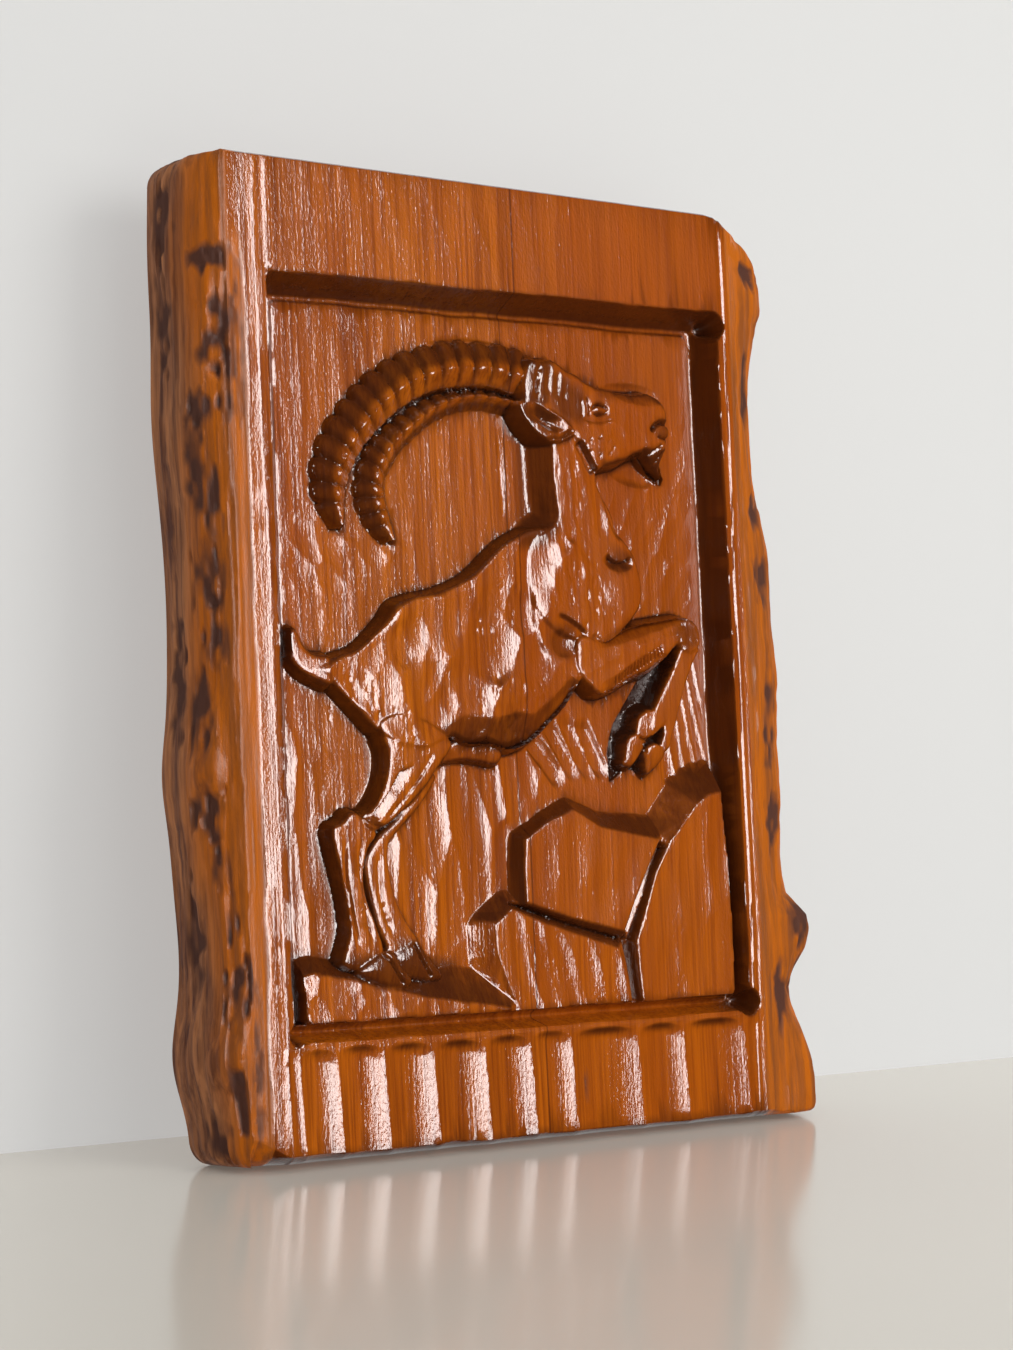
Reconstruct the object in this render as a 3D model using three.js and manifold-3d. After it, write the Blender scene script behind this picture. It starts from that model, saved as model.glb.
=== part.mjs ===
// Carved wooden wall panel: a board with natural edges, a sunk field and an ibex in relief.
// Millimetres. X runs to the right, Z up and Y into the wall. The back lies in the plane Y = 0
// and the origin is the middle of the back, behind the centre line of the sunk field.
import * as THREE from 'three';
import { mergeVertices } from 'three/addons/utils/BufferGeometryUtils.js';
import Module from 'manifold-3d';

// Board
const boardThickness = 32;
const topRailHeight = 43;
const bottomRailHeight = 42;
const leftStileWidth = 15;
const rightStileWidth = 6;
const leftEdgeSpread = 17;
const rightEdgeSpread = 25;
const endCornerRadius = 9;
const footBevel = 4;

// Sunk field
const groundDepth = 12;
const sideSlope = 8;
const topSlope = 9.5;
const bottomSlope = 6;
const rimCornerRadius = 5;
const channelWidth = 7;
const channelDepth = 1.6;

// Figure, from the hooves to the top of the horns, and its place in the field
const figureHeight = 244;
const figureSetback = 2.5;
const tailMargin = 4;
const kneeMargin = 14;
const headroom = 18.5;
const ledgeHeight = 17.5;
const hornRings = 15;
const farHornRibs = 14;

// Gouge work on the frame
const flutePitch = 23;
const fluteDepth = 2;
const fluteTopGap = 2;
const stileGrooveWidth = 8;
const stileGrooveDepth = 0.9;

// The figure is drawn on a grid of 244 units over its height, counted from the field's
// lower left rim corner, so its outlines below are shares of that height.
const drawnHeight = 244;
const drawnHoof = 17.5;
const drawnTail = 4;
const drawnKnee = 193.5;
const scale = figureHeight / drawnHeight;
const figureLength = (drawnKnee - drawnTail) * scale;

const fieldWidth = tailMargin + figureLength + kneeMargin;
const fieldHeight = ledgeHeight + figureHeight + headroom;
const boardHeight = bottomRailHeight + fieldHeight + topRailHeight;
const frontY = -boardThickness;
const boardBottom = -boardHeight / 2;
const boardTop = boardHeight / 2;
const fieldLeft = -fieldWidth / 2;
const fieldRight = fieldWidth / 2;
const fieldBottom = boardBottom + bottomRailHeight;
const fieldTop = fieldBottom + fieldHeight;

// How far a cutter runs past the face it cuts, and how deep the relief is rooted in the ground
const overrun = 2;
const rootRise = -0.3;

const wasm = await Module();
wasm.setup();

const toManifold = (geometry) => {
  geometry.deleteAttribute('normal');
  geometry.deleteAttribute('uv');
  const merged = mergeVertices(geometry, 1e-4);
  const vertProperties = new Float32Array(merged.attributes.position.array);
  const triVerts = new Uint32Array(merged.index.array);
  return new wasm.Manifold(new wasm.Mesh({ numProp: 3, vertProperties, triVerts }));
};

const toGeometry = (manifold) => {
  const mesh = manifold.getMesh();
  const geometry = new THREE.BufferGeometry();
  geometry.setAttribute('position', new THREE.BufferAttribute(mesh.vertProperties, 3));
  geometry.setIndex(new THREE.BufferAttribute(mesh.triVerts, 1));
  geometry.computeVertexNormals();
  return geometry;
};

const joined = (solids) => solids.reduce((whole, solid) => whole.add(solid));

// Triangles over a flat outline, turned the way the outline runs
const capOf = (outline) => {
  const triangles = THREE.ShapeUtils.triangulateShape(outline, []);
  return THREE.ShapeUtils.isClockWise(outline) ? triangles.map(([a, b, c]) => [a, c, b]) : triangles;
};

// A skin over rings of equal length, closed at both ends. flat gives a ring's outline in 2D.
const loft = (rings, flat) => {
  const count = rings[0].length;
  const points = rings.flat();
  const triangles = [];
  for (let ring = 0; ring < rings.length - 1; ring += 1) {
    for (let side = 0; side < count; side += 1) {
      const a = ring * count + side;
      const b = ring * count + ((side + 1) % count);
      triangles.push([a, b, b + count], [a, b + count, a + count]);
    }
  }
  const last = (rings.length - 1) * count;
  triangles.push(...capOf(rings[0].map(flat)).map(([a, b, c]) => [a, c, b]));
  triangles.push(...capOf(rings.at(-1).map(flat)).map((corners) => corners.map((at) => last + at)));
  const volume = triangles.reduce((sum, [a, b, c]) => {
    const cross = new THREE.Vector3().crossVectors(points[b], points[c]);
    return sum + points[a].dot(cross);
  }, 0);
  const outward = volume < 0 ? triangles.map(([a, b, c]) => [a, c, b]) : triangles;
  const geometry = new THREE.BufferGeometry().setFromPoints(points);
  geometry.setIndex(outward.flat());
  return toManifold(geometry);
};

const flatXY = (point) => new THREE.Vector2(point.x, point.y);
const flatXZ = (point) => new THREE.Vector2(point.x, point.z);

// A place in the drawing: rise is 0 at the ground and 1 at the figure's highest level
const place = (u, w, rise) => new THREE.Vector3(
  fieldLeft + tailMargin + (u - drawnTail) * scale,
  frontY + groundDepth - rise * (groundDepth - figureSetback),
  fieldBottom + ledgeHeight + (w - drawnHoof) * scale,
);

// The depth of one level of the relief, as a Y coordinate
const level = (rise) => place(drawnTail, drawnHoof, rise).y;

// Board: natural edges that swell and draw in along the grain.
// Each swelling is its height up the board as a share, how far it goes, and its half length.
const leftSwellings = [
  [0.02, -4, 0.08], [0.1, 3.5, 0.05], [0.2, -2, 0.07], [0.38, 2.5, 0.05],
  [0.55, -1.5, 0.1], [0.74, 2, 0.08], [0.9, 1.5, 0.08],
];
const rightSwellings = [
  [0.04, 7, 0.1], [0.2, 7, 0.045], [0.42, 1.5, 0.15], [0.62, 3, 0.06],
  [0.76, -2.5, 0.1], [0.9, 5, 0.035], [0.99, -8, 0.06],
];
const swell = (list, share) => list.reduce((sum, [centre, reach, half]) => {
  const away = (share - centre) / half;
  return sum + reach * Math.exp(-away * away);
}, 0);

// The natural edge's section: how far out, as a share of its spread, at a share of the thickness
const edgeProfile = [[0, 0], [0.27, 0.07], [0.56, 0.22], [0.82, 0.46], [0.95, 0.75], [1, 1]];

const boardRing = (z) => {
  const share = (z - boardBottom) / boardHeight;
  const fromEnd = Math.min(z - boardBottom, boardTop - z, endCornerRadius);
  const drawnIn = endCornerRadius - fromEnd;
  const corner = endCornerRadius - Math.sqrt(endCornerRadius ** 2 - drawnIn ** 2);
  const leftSpread = leftEdgeSpread + swell(leftSwellings, share) - corner;
  const rightSpread = rightEdgeSpread + swell(rightSwellings, share) - corner;
  const left = edgeProfile.map(([out, deep]) => new THREE.Vector3(
    fieldLeft - leftStileWidth - leftSpread * out,
    frontY + deep * boardThickness,
    z,
  ));
  const right = edgeProfile.map(([out, deep]) => new THREE.Vector3(
    fieldRight + rightStileWidth + rightSpread * out,
    frontY + deep * boardThickness,
    z,
  ));
  return [...left, ...right.reverse()];
};

const makeBoard = () => {
  const levels = [0, 0.15, 0.45].map((share) => boardBottom + share * endCornerRadius);
  const steps = Math.round(boardHeight / 13);
  const first = boardBottom + endCornerRadius;
  const span = boardHeight - 2 * endCornerRadius;
  for (let step = 0; step <= steps; step += 1) levels.push(first + (span * step) / steps);
  levels.push(...[0.45, 0.15, 0].map((share) => boardTop - share * endCornerRadius));
  return loft(levels.map(boardRing), flatXY);
};

// A rounded rectangle around the field at one depth, drawn in by the slope of its walls
const fieldRing = (depth, outset) => {
  const share = depth / groundDepth;
  const radius = Math.max(rimCornerRadius * (1 - share / 2) + outset, 0.5);
  const left = fieldLeft + sideSlope * share - outset + radius;
  const right = fieldRight - sideSlope * share + outset - radius;
  const bottom = fieldBottom + bottomSlope * share - outset + radius;
  const top = fieldTop - topSlope * share + outset - radius;
  const corners = [[right, top], [left, top], [left, bottom], [right, bottom]];
  const arcSteps = 3;
  return corners.flatMap(([x, z], quarter) => {
    const arc = [];
    for (let step = 0; step <= arcSteps; step += 1) {
      const angle = (quarter + step / arcSteps) * (Math.PI / 2);
      arc.push(new THREE.Vector3(
        x + radius * Math.cos(angle),
        frontY + depth,
        z + radius * Math.sin(angle),
      ));
    }
    return arc;
  });
};

const makeField = () => loft([fieldRing(-overrun, 0), fieldRing(groundDepth, 0)], flatXZ);

// The space that the relief may fill: the field with a little of its walls, down into the wood
const makeReliefSpace = () => {
  const intoWall = 1.5;
  return loft([fieldRing(0, intoWall), fieldRing(groundDepth + overrun, intoWall)], flatXZ);
};

// The gouge channel at the foot of the four walls, with a round pocket in each corner
const makeChannel = () => {
  const half = channelWidth / 2;
  const radius = (half ** 2 + channelDepth ** 2) / (2 * channelDepth);
  const y = frontY + groundDepth - (radius - channelDepth);
  const left = fieldLeft + sideSlope + half;
  const right = fieldRight - sideSlope - half;
  const bottom = fieldBottom + bottomSlope + half;
  const top = fieldTop - topSlope - half;
  const run = (x0, z0, x1, z1) => {
    const length = Math.hypot(x1 - x0, z1 - z0);
    const bar = new THREE.CylinderGeometry(radius, radius, length, 14);
    bar.rotateX(Math.PI / 2);
    bar.rotateY(Math.atan2(x1 - x0, z1 - z0));
    bar.translate((x0 + x1) / 2, y, (z0 + z1) / 2);
    return toManifold(bar);
  };
  const pocket = (x, z) => {
    const ball = new THREE.SphereGeometry(radius * 1.08, 14, 10);
    ball.translate(x, y, z);
    return toManifold(ball);
  };
  const corners = [[left, bottom], [right, bottom], [right, top], [left, top]];
  return joined(corners.flatMap(([x, z], index) => {
    const [nextX, nextZ] = corners[(index + 1) % corners.length];
    return [run(x, z, nextX, nextZ), pocket(x, z)];
  }));
};

// One gouge stroke as a long ellipsoid that leaves a hollow of this length, width and depth
// between two places on a surface at surfaceY
const stroke = (from, to, width, depth, surfaceY) => {
  const height = 6 * depth;
  const footprint = Math.sqrt(1 - ((height - depth) / height) ** 2);
  const length = Math.hypot(to.x - from.x, to.z - from.z);
  const tool = new THREE.SphereGeometry(1, 18, 12);
  tool.rotateX(Math.PI / 2);
  tool.scale(width / 2 / footprint, height, length / 2 / footprint);
  tool.rotateY(Math.atan2(to.x - from.x, to.z - from.z));
  tool.translate((from.x + to.x) / 2, surfaceY - (height - depth), (from.z + to.z) / 2);
  return toManifold(tool);
};

// A long hollow in the front, as wide and deep as one gouge pass, with round ends
const groove = (x, z0, z1, width, depth) => {
  const half = width / 2;
  const radius = (half ** 2 + depth ** 2) / (2 * depth);
  const bar = new THREE.CapsuleGeometry(radius, z1 - z0 - width, 12, 56);
  bar.rotateX(Math.PI / 2);
  bar.translate(x, frontY - (radius - depth), (z0 + z1) / 2);
  return toManifold(bar);
};

// A raised form between two feet on the ground. A station is the place of each foot, the rise
// of the crest and the crest's place between the feet. Round gives the rise on the way up.
const softSection = [[0.1, 0.62], [0.42, 0.92]];
const keenSection = [[0.06, 0.5], [0.5, 0.8]];

const sectionRing = ([u0, w0, u1, w1, rise, crest], section) => {
  const across = (share, level) => place(u0 + (u1 - u0) * share, w0 + (w1 - w0) * share, level);
  const near = section.map(([out, up]) => across(out * crest, up * rise));
  const far = section.map(([out, up]) => across(1 - out * (1 - crest), up * rise));
  return [
    across(0, rootRise), across(0, 0), ...near, across(crest, rise),
    ...far.reverse(), across(1, 0), across(1, rootRise),
  ];
};

const raised = (stations, section = softSection, steps = 2) => {
  const curve = (pick) => new THREE.CatmullRomCurve3(stations.map(pick), false, 'centripetal');
  const near = curve(([u, w, , , rise]) => new THREE.Vector3(u, w, rise));
  const far = curve(([, , u, w, , crest]) => new THREE.Vector3(u, w, crest ?? 0.5));
  const count = (stations.length - 1) * steps;
  const rings = [];
  for (let step = 0; step <= count; step += 1) {
    const a = near.getPoint(step / count);
    const b = far.getPoint(step / count);
    rings.push(sectionRing([a.x, a.y, b.x, b.y, a.z, b.z], section));
  }
  const [start, end] = [rings[0][0], rings[0].at(-1)];
  const alongX = Math.abs(end.x - start.x) > Math.abs(end.z - start.z);
  const flat = (point) => new THREE.Vector2(alongX ? point.x : point.z, point.y);
  return loft(rings, flat);
};

// A horn with knobs: each ring swells the outer foot and the crest, and drops behind itself
const ringedHorn = (stations, rings, knob, lift) => {
  const curve = (pick) => new THREE.CatmullRomCurve3(stations.map(pick), false, 'centripetal');
  const outer = curve(([u, w, , , rise]) => new THREE.Vector3(u, w, rise));
  const inner = curve(([, , u, w, , crest]) => new THREE.Vector3(u, w, crest));
  const beats = [[0, 0], [0.3, 1], [0.72, 0.75]];
  const ringed = [];
  for (let ring = 0; ring < rings; ring += 1) {
    for (const [beat, swelling] of beats) {
      const t = (ring + beat) / rings;
      const fade = Math.min(1, 2.2 * (1 - t));
      const a = outer.getPoint(t);
      const b = inner.getPoint(t);
      const reach = swelling * fade;
      const out = new THREE.Vector2(a.x - b.x, a.y - b.y).normalize().multiplyScalar(knob * reach);
      ringed.push([a.x + out.x, a.y + out.y, b.x, b.y, a.z + lift * reach, b.z]);
    }
  }
  const a = outer.getPoint(1);
  const b = inner.getPoint(1);
  ringed.push([a.x, a.y, b.x, b.y, a.z, b.z]);
  const whole = ringed.map((station) => sectionRing(station, keenSection));
  return loft(whole, (point) => new THREE.Vector2(point.z, point.y));
};

const makeHorns = () => {
  const near = ringedHorn([
    [127, 257, 122, 240, 0.8, 0.5], [111, 261, 107, 244, 0.86, 0.52], [95, 261.5, 93, 244.5, 0.84, 0.5],
    [78, 259.5, 80, 243, 0.82, 0.5], [62, 254, 66, 238, 0.8, 0.5], [48, 245.5, 55, 230.5, 0.78, 0.5],
    [35, 233, 45, 220, 0.76, 0.5], [26, 220, 38, 211, 0.72, 0.5], [22, 207, 35, 202, 0.66, 0.5],
    [23.5, 195, 34, 196, 0.55, 0.5], [28, 188, 32.5, 189, 0.35, 0.5],
  ], hornRings, 1.3, 0.12);
  const far = ringedHorn([
    [112, 243, 112, 237, 0.5, 0.45], [98, 244, 100, 238.5, 0.5, 0.45], [84, 243, 88, 238, 0.5, 0.45],
    [70, 238.5, 76, 233, 0.5, 0.45], [58, 231, 65, 225.5, 0.5, 0.45], [48, 222, 58, 217, 0.5, 0.45],
    [41, 211, 52, 208.5, 0.48, 0.45], [39, 201, 52, 201.5, 0.44, 0.45], [42, 193, 53.5, 195.5, 0.36, 0.45],
    [51, 183.5, 56.5, 185.5, 0.22, 0.45],
  ], farHornRibs, 0.4, 0.09);
  return joined([near, far]);
};

const makeHead = () => {
  const skull = raised([
    [112, 247, 113, 226, 0.72, 0.6], [121, 257, 121, 222, 0.86, 0.6], [130, 255.5, 132, 216, 0.95, 0.55],
    [140, 251.5, 145, 213.5, 1, 0.5], [150, 248, 155, 216, 0.97, 0.45], [162, 247, 165, 221.5, 0.92, 0.4],
    [173, 247.5, 175, 219.5, 0.88, 0.4], [180, 245, 181.5, 216.5, 0.74, 0.45], [184, 239, 184, 226, 0.45, 0.5],
  ]);
  const beard = raised([[176, 224, 183.5, 222, 0.6], [180, 218, 184.5, 217, 0.4], [182, 213, 184, 213, 0.15]]);
  const brow = raised([
    [140, 249, 142, 240, 1.02, 0.5], [147, 248, 150, 239, 1.1, 0.6], [156, 246, 157, 241, 0.95, 0.5],
  ]);
  const ear = raised([
    [111, 240, 112.5, 237.5, 0.8], [119, 240.5, 119, 227.5, 1.02, 0.3],
    [128, 237.5, 128, 225, 1.08, 0.3], [136, 232.5, 136, 228, 0.95],
  ], keenSection);
  const earHollow = stroke(place(113, 236, 0.9), place(133, 230, 0.9), 6, 2, level(0.92));
  const cheekFold = stroke(place(134, 229, 1), place(147, 211, 1), 4.5, 1.2, level(0.98));
  const eye = stroke(place(144, 237.5, 1), place(153, 238.5, 1), 3, 1, level(1));
  const nostril = stroke(place(173, 231, 1), place(185, 235, 1), 3, 1.6, level(0.85));
  const cuts = joined([earHollow, cheekFold, eye, nostril]);
  return joined([skull, beard, brow, ear]).subtract(cuts);
};

const makeTrunk = () => {
  const barrel = raised([
    [23, 143, 23, 127, 0.5], [38, 149.5, 33, 112, 0.82, 0.5], [50, 158.5, 50, 100, 0.88, 0.5],
    [62, 165.5, 69, 98, 0.86, 0.5], [76, 171.5, 84, 102, 0.74, 0.5], [90, 178, 98, 103, 0.76, 0.5],
    [102, 186.5, 112, 109, 0.84, 0.5], [114, 196, 128, 119, 0.9, 0.45], [124, 205, 140, 131, 0.9, 0.45],
    [150, 207, 150, 145, 0.6, 0.5],
  ]);
  const neck = raised([
    [110, 180, 156, 150, 0.84, 0.45], [114, 194, 165.5, 166, 0.92, 0.45], [116, 205, 161, 184, 0.92, 0.4],
    [116.5, 215, 153, 200, 0.9, 0.35], [113, 224, 149, 211, 0.88, 0.4], [110, 231, 146, 222, 0.8, 0.4],
  ]);
  const shoulder = raised([[108, 150, 128, 128, 0.6], [112, 176, 142, 142, 0.96], [128, 190, 156, 162, 0.6]]);
  const tail = raised([
    [24, 142, 23, 129, 0.55], [16.5, 142.5, 15, 132, 0.55], [11.5, 146, 9.5, 138, 0.5], [11, 151, 8.5, 148, 0.3],
  ]);
  const shoulderFold = stroke(place(112, 168, 1), place(119, 138, 1), 7, 1.6, level(0.82));
  const armpitFold = stroke(place(121, 158, 1), place(141, 146, 1), 5, 2, level(0.92));
  const chestFold = stroke(place(146, 182, 1), place(163, 177, 1), 5, 1.6, level(0.9));
  return joined([barrel, neck, shoulder, tail]).subtract(joined([shoulderFold, armpitFold, chestFold]));
};

const makeForeleg = () => {
  const upperArm = raised([
    [132, 152, 134, 129, 0.9, 0.4], [147, 149, 147, 127.5, 0.92, 0.4], [158, 153.5, 158, 132, 0.92, 0.4],
    [171, 157.5, 171, 138, 0.92, 0.4], [182, 160, 181, 147, 0.94, 0.4], [191, 157, 190, 146, 0.8],
  ]);
  const cannon = raised([
    [181, 155, 193.5, 154, 0.85], [178, 141, 189, 141, 0.86], [173, 131, 183.5, 130, 0.86],
    [167, 122, 180.5, 122, 0.84], [163, 115, 178, 114, 0.86], [161, 110, 174, 110, 0.8],
  ]);
  const leftToe = raised([
    [160, 114, 170, 113, 0.8], [156, 107, 166, 105, 0.78], [153, 100, 161, 97, 0.66], [153, 98, 158, 96, 0.5],
  ]);
  const rightToe = raised([
    [166, 114, 177, 112, 0.84], [164.5, 106, 174, 105, 0.82], [164, 98, 171, 98, 0.66], [165, 96, 169, 96, 0.5],
  ]);
  return joined([upperArm, cannon, leftToe, rightToe]);
};

const makeHindLegs = () => {
  const thigh = raised([
    [31, 146, 63, 152, 0.82], [24, 124, 80, 119, 0.95, 0.42], [30, 110, 72, 104, 0.97, 0.38],
    [35.5, 97, 61, 93, 0.93, 0.35], [31, 87, 50, 80, 0.9, 0.35],
  ]);
  const cannon = raised([
    [34, 90, 53, 86, 0.9, 0.4], [22, 79, 42, 73, 0.88, 0.4], [21.5, 68, 35, 64, 0.86],
    [24, 54, 35, 52, 0.86], [25, 42, 38, 43, 0.84], [24.5, 31, 42, 33, 0.86], [28, 24, 46, 25, 0.9],
  ]);
  const farLeg = raised([
    [54, 98, 70, 99, 0.6], [49, 85, 61, 86, 0.5], [42, 75, 52, 78, 0.46], [36, 66, 45.5, 68, 0.44],
    [37, 54, 47, 54, 0.42], [41, 43, 51.5, 42, 0.44], [45, 33, 56, 37, 0.5], [48, 28, 60, 31, 0.5],
  ]);
  const nearHoof = raised([
    [31, 28, 33, 20, 0.85], [38, 33, 38, 17, 1], [45, 31, 46, 16, 1], [51, 24, 51, 16, 0.9],
    [55, 20, 55, 17, 0.6],
  ]);
  const farHoof = raised([
    [47, 33, 52, 19, 0.6], [56, 35, 58, 18, 0.66], [63, 28, 64, 18, 0.6], [68.5, 22, 68, 19, 0.4],
  ]);
  const hockFold = stroke(place(52, 92, 1), place(36, 70, 1), 4.5, 1.4, level(0.86));
  return joined([thigh, cannon, nearHoof, farHoof, farLeg]).subtract(hockFold);
};

// A rock: its foot on the ground and its face, point for point, each face point with its rise
const rock = (foot, face) => loft([
  foot.map(([u, w]) => place(u, w, rootRise)),
  foot.map(([u, w]) => place(u, w, 0)),
  face.map(([u, w, rise]) => place(u, w, rise)),
], flatXZ);

const makeRocks = () => {
  const middle = rock(
    [[97, 60], [103, 76], [130, 92], [144, 84], [176, 82], [168, 24], [106, 30]],
    [[105, 58, 0.55], [104, 71, 0.55], [125, 82.5, 0.62], [141, 75, 0.62], [170, 69.5, 0.7],
      [151, 34, 0.66], [109, 46, 0.6]],
  );
  const right = rock(
    [[157, 30], [172, 82], [184, 92], [196, 99], [230, 102], [230, -15], [158, -15]],
    [[156, 31, 0.74], [174, 69, 0.82], [187, 80, 0.86], [191, 88, 0.86], [226, 90, 0.86], [226, -12, 0.8],
      [157, -12, 0.72]],
  );
  const left = rock(
    [[79, 40], [94, 56], [104, 57], [150, 34], [158, 28], [158, -15], [94, -15]],
    [[80, 37, 0.4], [94, 47, 0.5], [98, 44, 0.64], [148, 29, 0.68], [150, 24, 0.66], [155, -12, 0.6],
      [95, -12, 0.6]],
  );
  const ledge = raised([
    [-14, 32, -14, -15, 0.6, 0.22], [3, 33, 3, -15, 0.6, 0.22], [20, 33, 20, -15, 0.62, 0.22],
    [40, 30, 40, -15, 0.64, 0.25], [60, 28, 60, -15, 0.64, 0.3], [76, 26, 76, -15, 0.62, 0.32],
    [96, 10, 99, -15, 0.5, 0.2],
  ]);
  const facets = [
    [[112, 80], [118, 40], 11, 0.64], [[124, 86], [130, 36], 12, 0.68], [[138, 80], [142, 34], 11, 0.7],
    [[152, 76], [150, 36], 10, 0.72], [[110, 46], [106, -2], 12, 0.68], [[122, 42], [121, -2], 12, 0.68],
    [[136, 38], [137, -2], 12, 0.7], [[178, 78], [168, 10], 13, 0.84], [[193, 92], [184, 10], 13, 0.88],
  ];
  const cuts = facets.map(([from, to, width, rise]) => (
    stroke(place(...from, 0), place(...to, 0), width * scale, 1, level(rise))
  ));
  return joined([middle, right, left, ledge]).subtract(joined(cuts));
};

// Gouge strokes that fan out over the ground below the belly, beside the legs and by the foreleg
const makeGroundStrokes = () => {
  const runs = [
    [[116, 110], [138, 92]], [[124, 116], [142, 92]], [[134, 118], [147, 90]], [[108, 104], [126, 92]],
    [[98, 100], [90, 55]], [[86, 100], [80, 50]], [[74, 98], [68, 42]], [[62, 82], [57, 40]],
    [[10, 88], [7, 36]], [[18, 66], [17, 34]], [[184, 140], [178, 98]], [[193, 136], [188, 98]],
  ];
  return joined(runs.map(([from, to]) => (
    stroke(place(...from, 0), place(...to, 0), 9 * scale, 0.9, frontY + groundDepth)
  )));
};

const makeFrameStrokes = () => {
  const flutes = Math.max(1, Math.round(fieldWidth / flutePitch));
  const pitch = fieldWidth / flutes;
  const top = fieldBottom - fluteTopGap;
  const cuts = [];
  for (let flute = 0; flute < flutes; flute += 1) {
    const x = fieldLeft + pitch * (flute + 0.5);
    cuts.push(groove(x, boardBottom - pitch, top, pitch, fluteDepth));
  }
  const low = boardBottom - stileGrooveWidth;
  const high = boardTop + stileGrooveWidth;
  const leftGroove = fieldLeft - stileGrooveWidth * 0.8;
  const rightGroove = fieldRight + rightStileWidth - stileGrooveWidth * 0.55;
  cuts.push(groove(leftGroove, low, high, stileGrooveWidth, stileGrooveDepth));
  cuts.push(groove(rightGroove, low, high, stileGrooveWidth, stileGrooveDepth));
  return joined(cuts);
};

// The lower front edge is bevelled along its whole length
const makeFootBevel = () => {
  const wedge = new THREE.Shape([
    new THREE.Vector2(frontY - overrun, boardBottom - overrun),
    new THREE.Vector2(frontY + footBevel, boardBottom - overrun),
    new THREE.Vector2(frontY + footBevel, boardBottom),
    new THREE.Vector2(frontY, boardBottom + footBevel),
    new THREE.Vector2(frontY - overrun, boardBottom + footBevel),
  ]);
  const length = 2 * (fieldWidth + leftEdgeSpread + rightEdgeSpread);
  const bar = new THREE.ExtrudeGeometry(wedge, { depth: length, bevelEnabled: false });
  bar.translate(0, 0, -length / 2);
  bar.applyMatrix4(new THREE.Matrix4().set(0, 0, 1, 0, 1, 0, 0, 0, 0, 1, 0, 0, 0, 0, 0, 1));
  return toManifold(bar);
};

const makePanel = () => {
  const blank = makeBoard().subtract(joined([makeField(), makeChannel(), makeGroundStrokes()]));
  const relief = joined([makeTrunk(), makeHindLegs(), makeForeleg(), makeHorns(), makeHead(), makeRocks()]);
  const carved = blank.add(relief.intersect(makeReliefSpace()));
  return carved.subtract(joined([makeFrameStrokes(), makeFootBevel()]));
};

const wood = new THREE.MeshStandardMaterial({ color: 0xa85a1e, roughness: 0.38, metalness: 0 });

const panel = new THREE.Mesh(toGeometry(makePanel()), wood);
panel.name = 'carved_panel';

const part = new THREE.Group();
part.name = 'ibex_wall_carving';
part.add(panel);

export default part;
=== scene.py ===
# Ibex relief wall carving: the carved face, the natural edges and the lacquered wood of one
# board, and a pale studio. Lengths in the drawing are millimetres, with x to the right and z up
# from the lower left corner of the sunk field's rim, and depth counted from the front inwards.
import math

import bpy
import numpy as np
from bpy.props import FloatProperty, FloatVectorProperty, PointerProperty
from mathutils import Matrix, Vector


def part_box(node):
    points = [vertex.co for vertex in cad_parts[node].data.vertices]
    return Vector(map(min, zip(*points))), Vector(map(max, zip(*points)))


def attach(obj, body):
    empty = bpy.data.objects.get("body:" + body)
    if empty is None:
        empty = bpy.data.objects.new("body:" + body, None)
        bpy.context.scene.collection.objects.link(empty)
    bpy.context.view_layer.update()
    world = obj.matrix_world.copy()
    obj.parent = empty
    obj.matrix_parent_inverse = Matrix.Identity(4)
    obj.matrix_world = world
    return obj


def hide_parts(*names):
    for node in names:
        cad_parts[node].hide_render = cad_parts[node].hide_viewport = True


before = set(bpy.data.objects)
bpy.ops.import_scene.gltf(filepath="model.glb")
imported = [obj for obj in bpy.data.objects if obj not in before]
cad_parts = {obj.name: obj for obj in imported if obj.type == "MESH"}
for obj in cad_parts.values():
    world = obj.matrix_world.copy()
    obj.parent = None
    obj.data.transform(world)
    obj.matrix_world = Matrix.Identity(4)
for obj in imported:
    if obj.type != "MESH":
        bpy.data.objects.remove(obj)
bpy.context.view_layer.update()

NODE_LOW, NODE_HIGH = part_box("carved_panel")

bl_info = {
    "name": "Ibex relief wall carving",
    "version": (1, 0, 0),
    "blender": (4, 5, 0),
    "location": "3D View > Sidebar > Carving",
    "description": "Carves and finishes a wooden relief panel around its packed solid",
    "category": "Object",
}

# The blank and its frame in the drawing's millimetres, and the mesh that is made of them
MM = 0.001
FACE_LIMIT = 196000
SMOOTH_ANGLE = math.radians(38)
THICKNESS = (NODE_HIGH[1] - NODE_LOW[1]) / MM
BOARD_HEIGHT = (NODE_HIGH[2] - NODE_LOW[2]) / MM
RIM_WIDTH = 207.5
RIM_HEIGHT = 280.0
BOTTOM_RAIL = 42.0
BOARD_LOW = -BOTTOM_RAIL
BOARD_TOP = BOARD_HEIGHT - BOTTOM_RAIL
FRONT_LEFT = -15.0
FRONT_RIGHT = 213.5
BACK_INNER_X = 200.0
BACK_COLUMNS = 8
GROUND = 12.0


# Curves and distances

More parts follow.
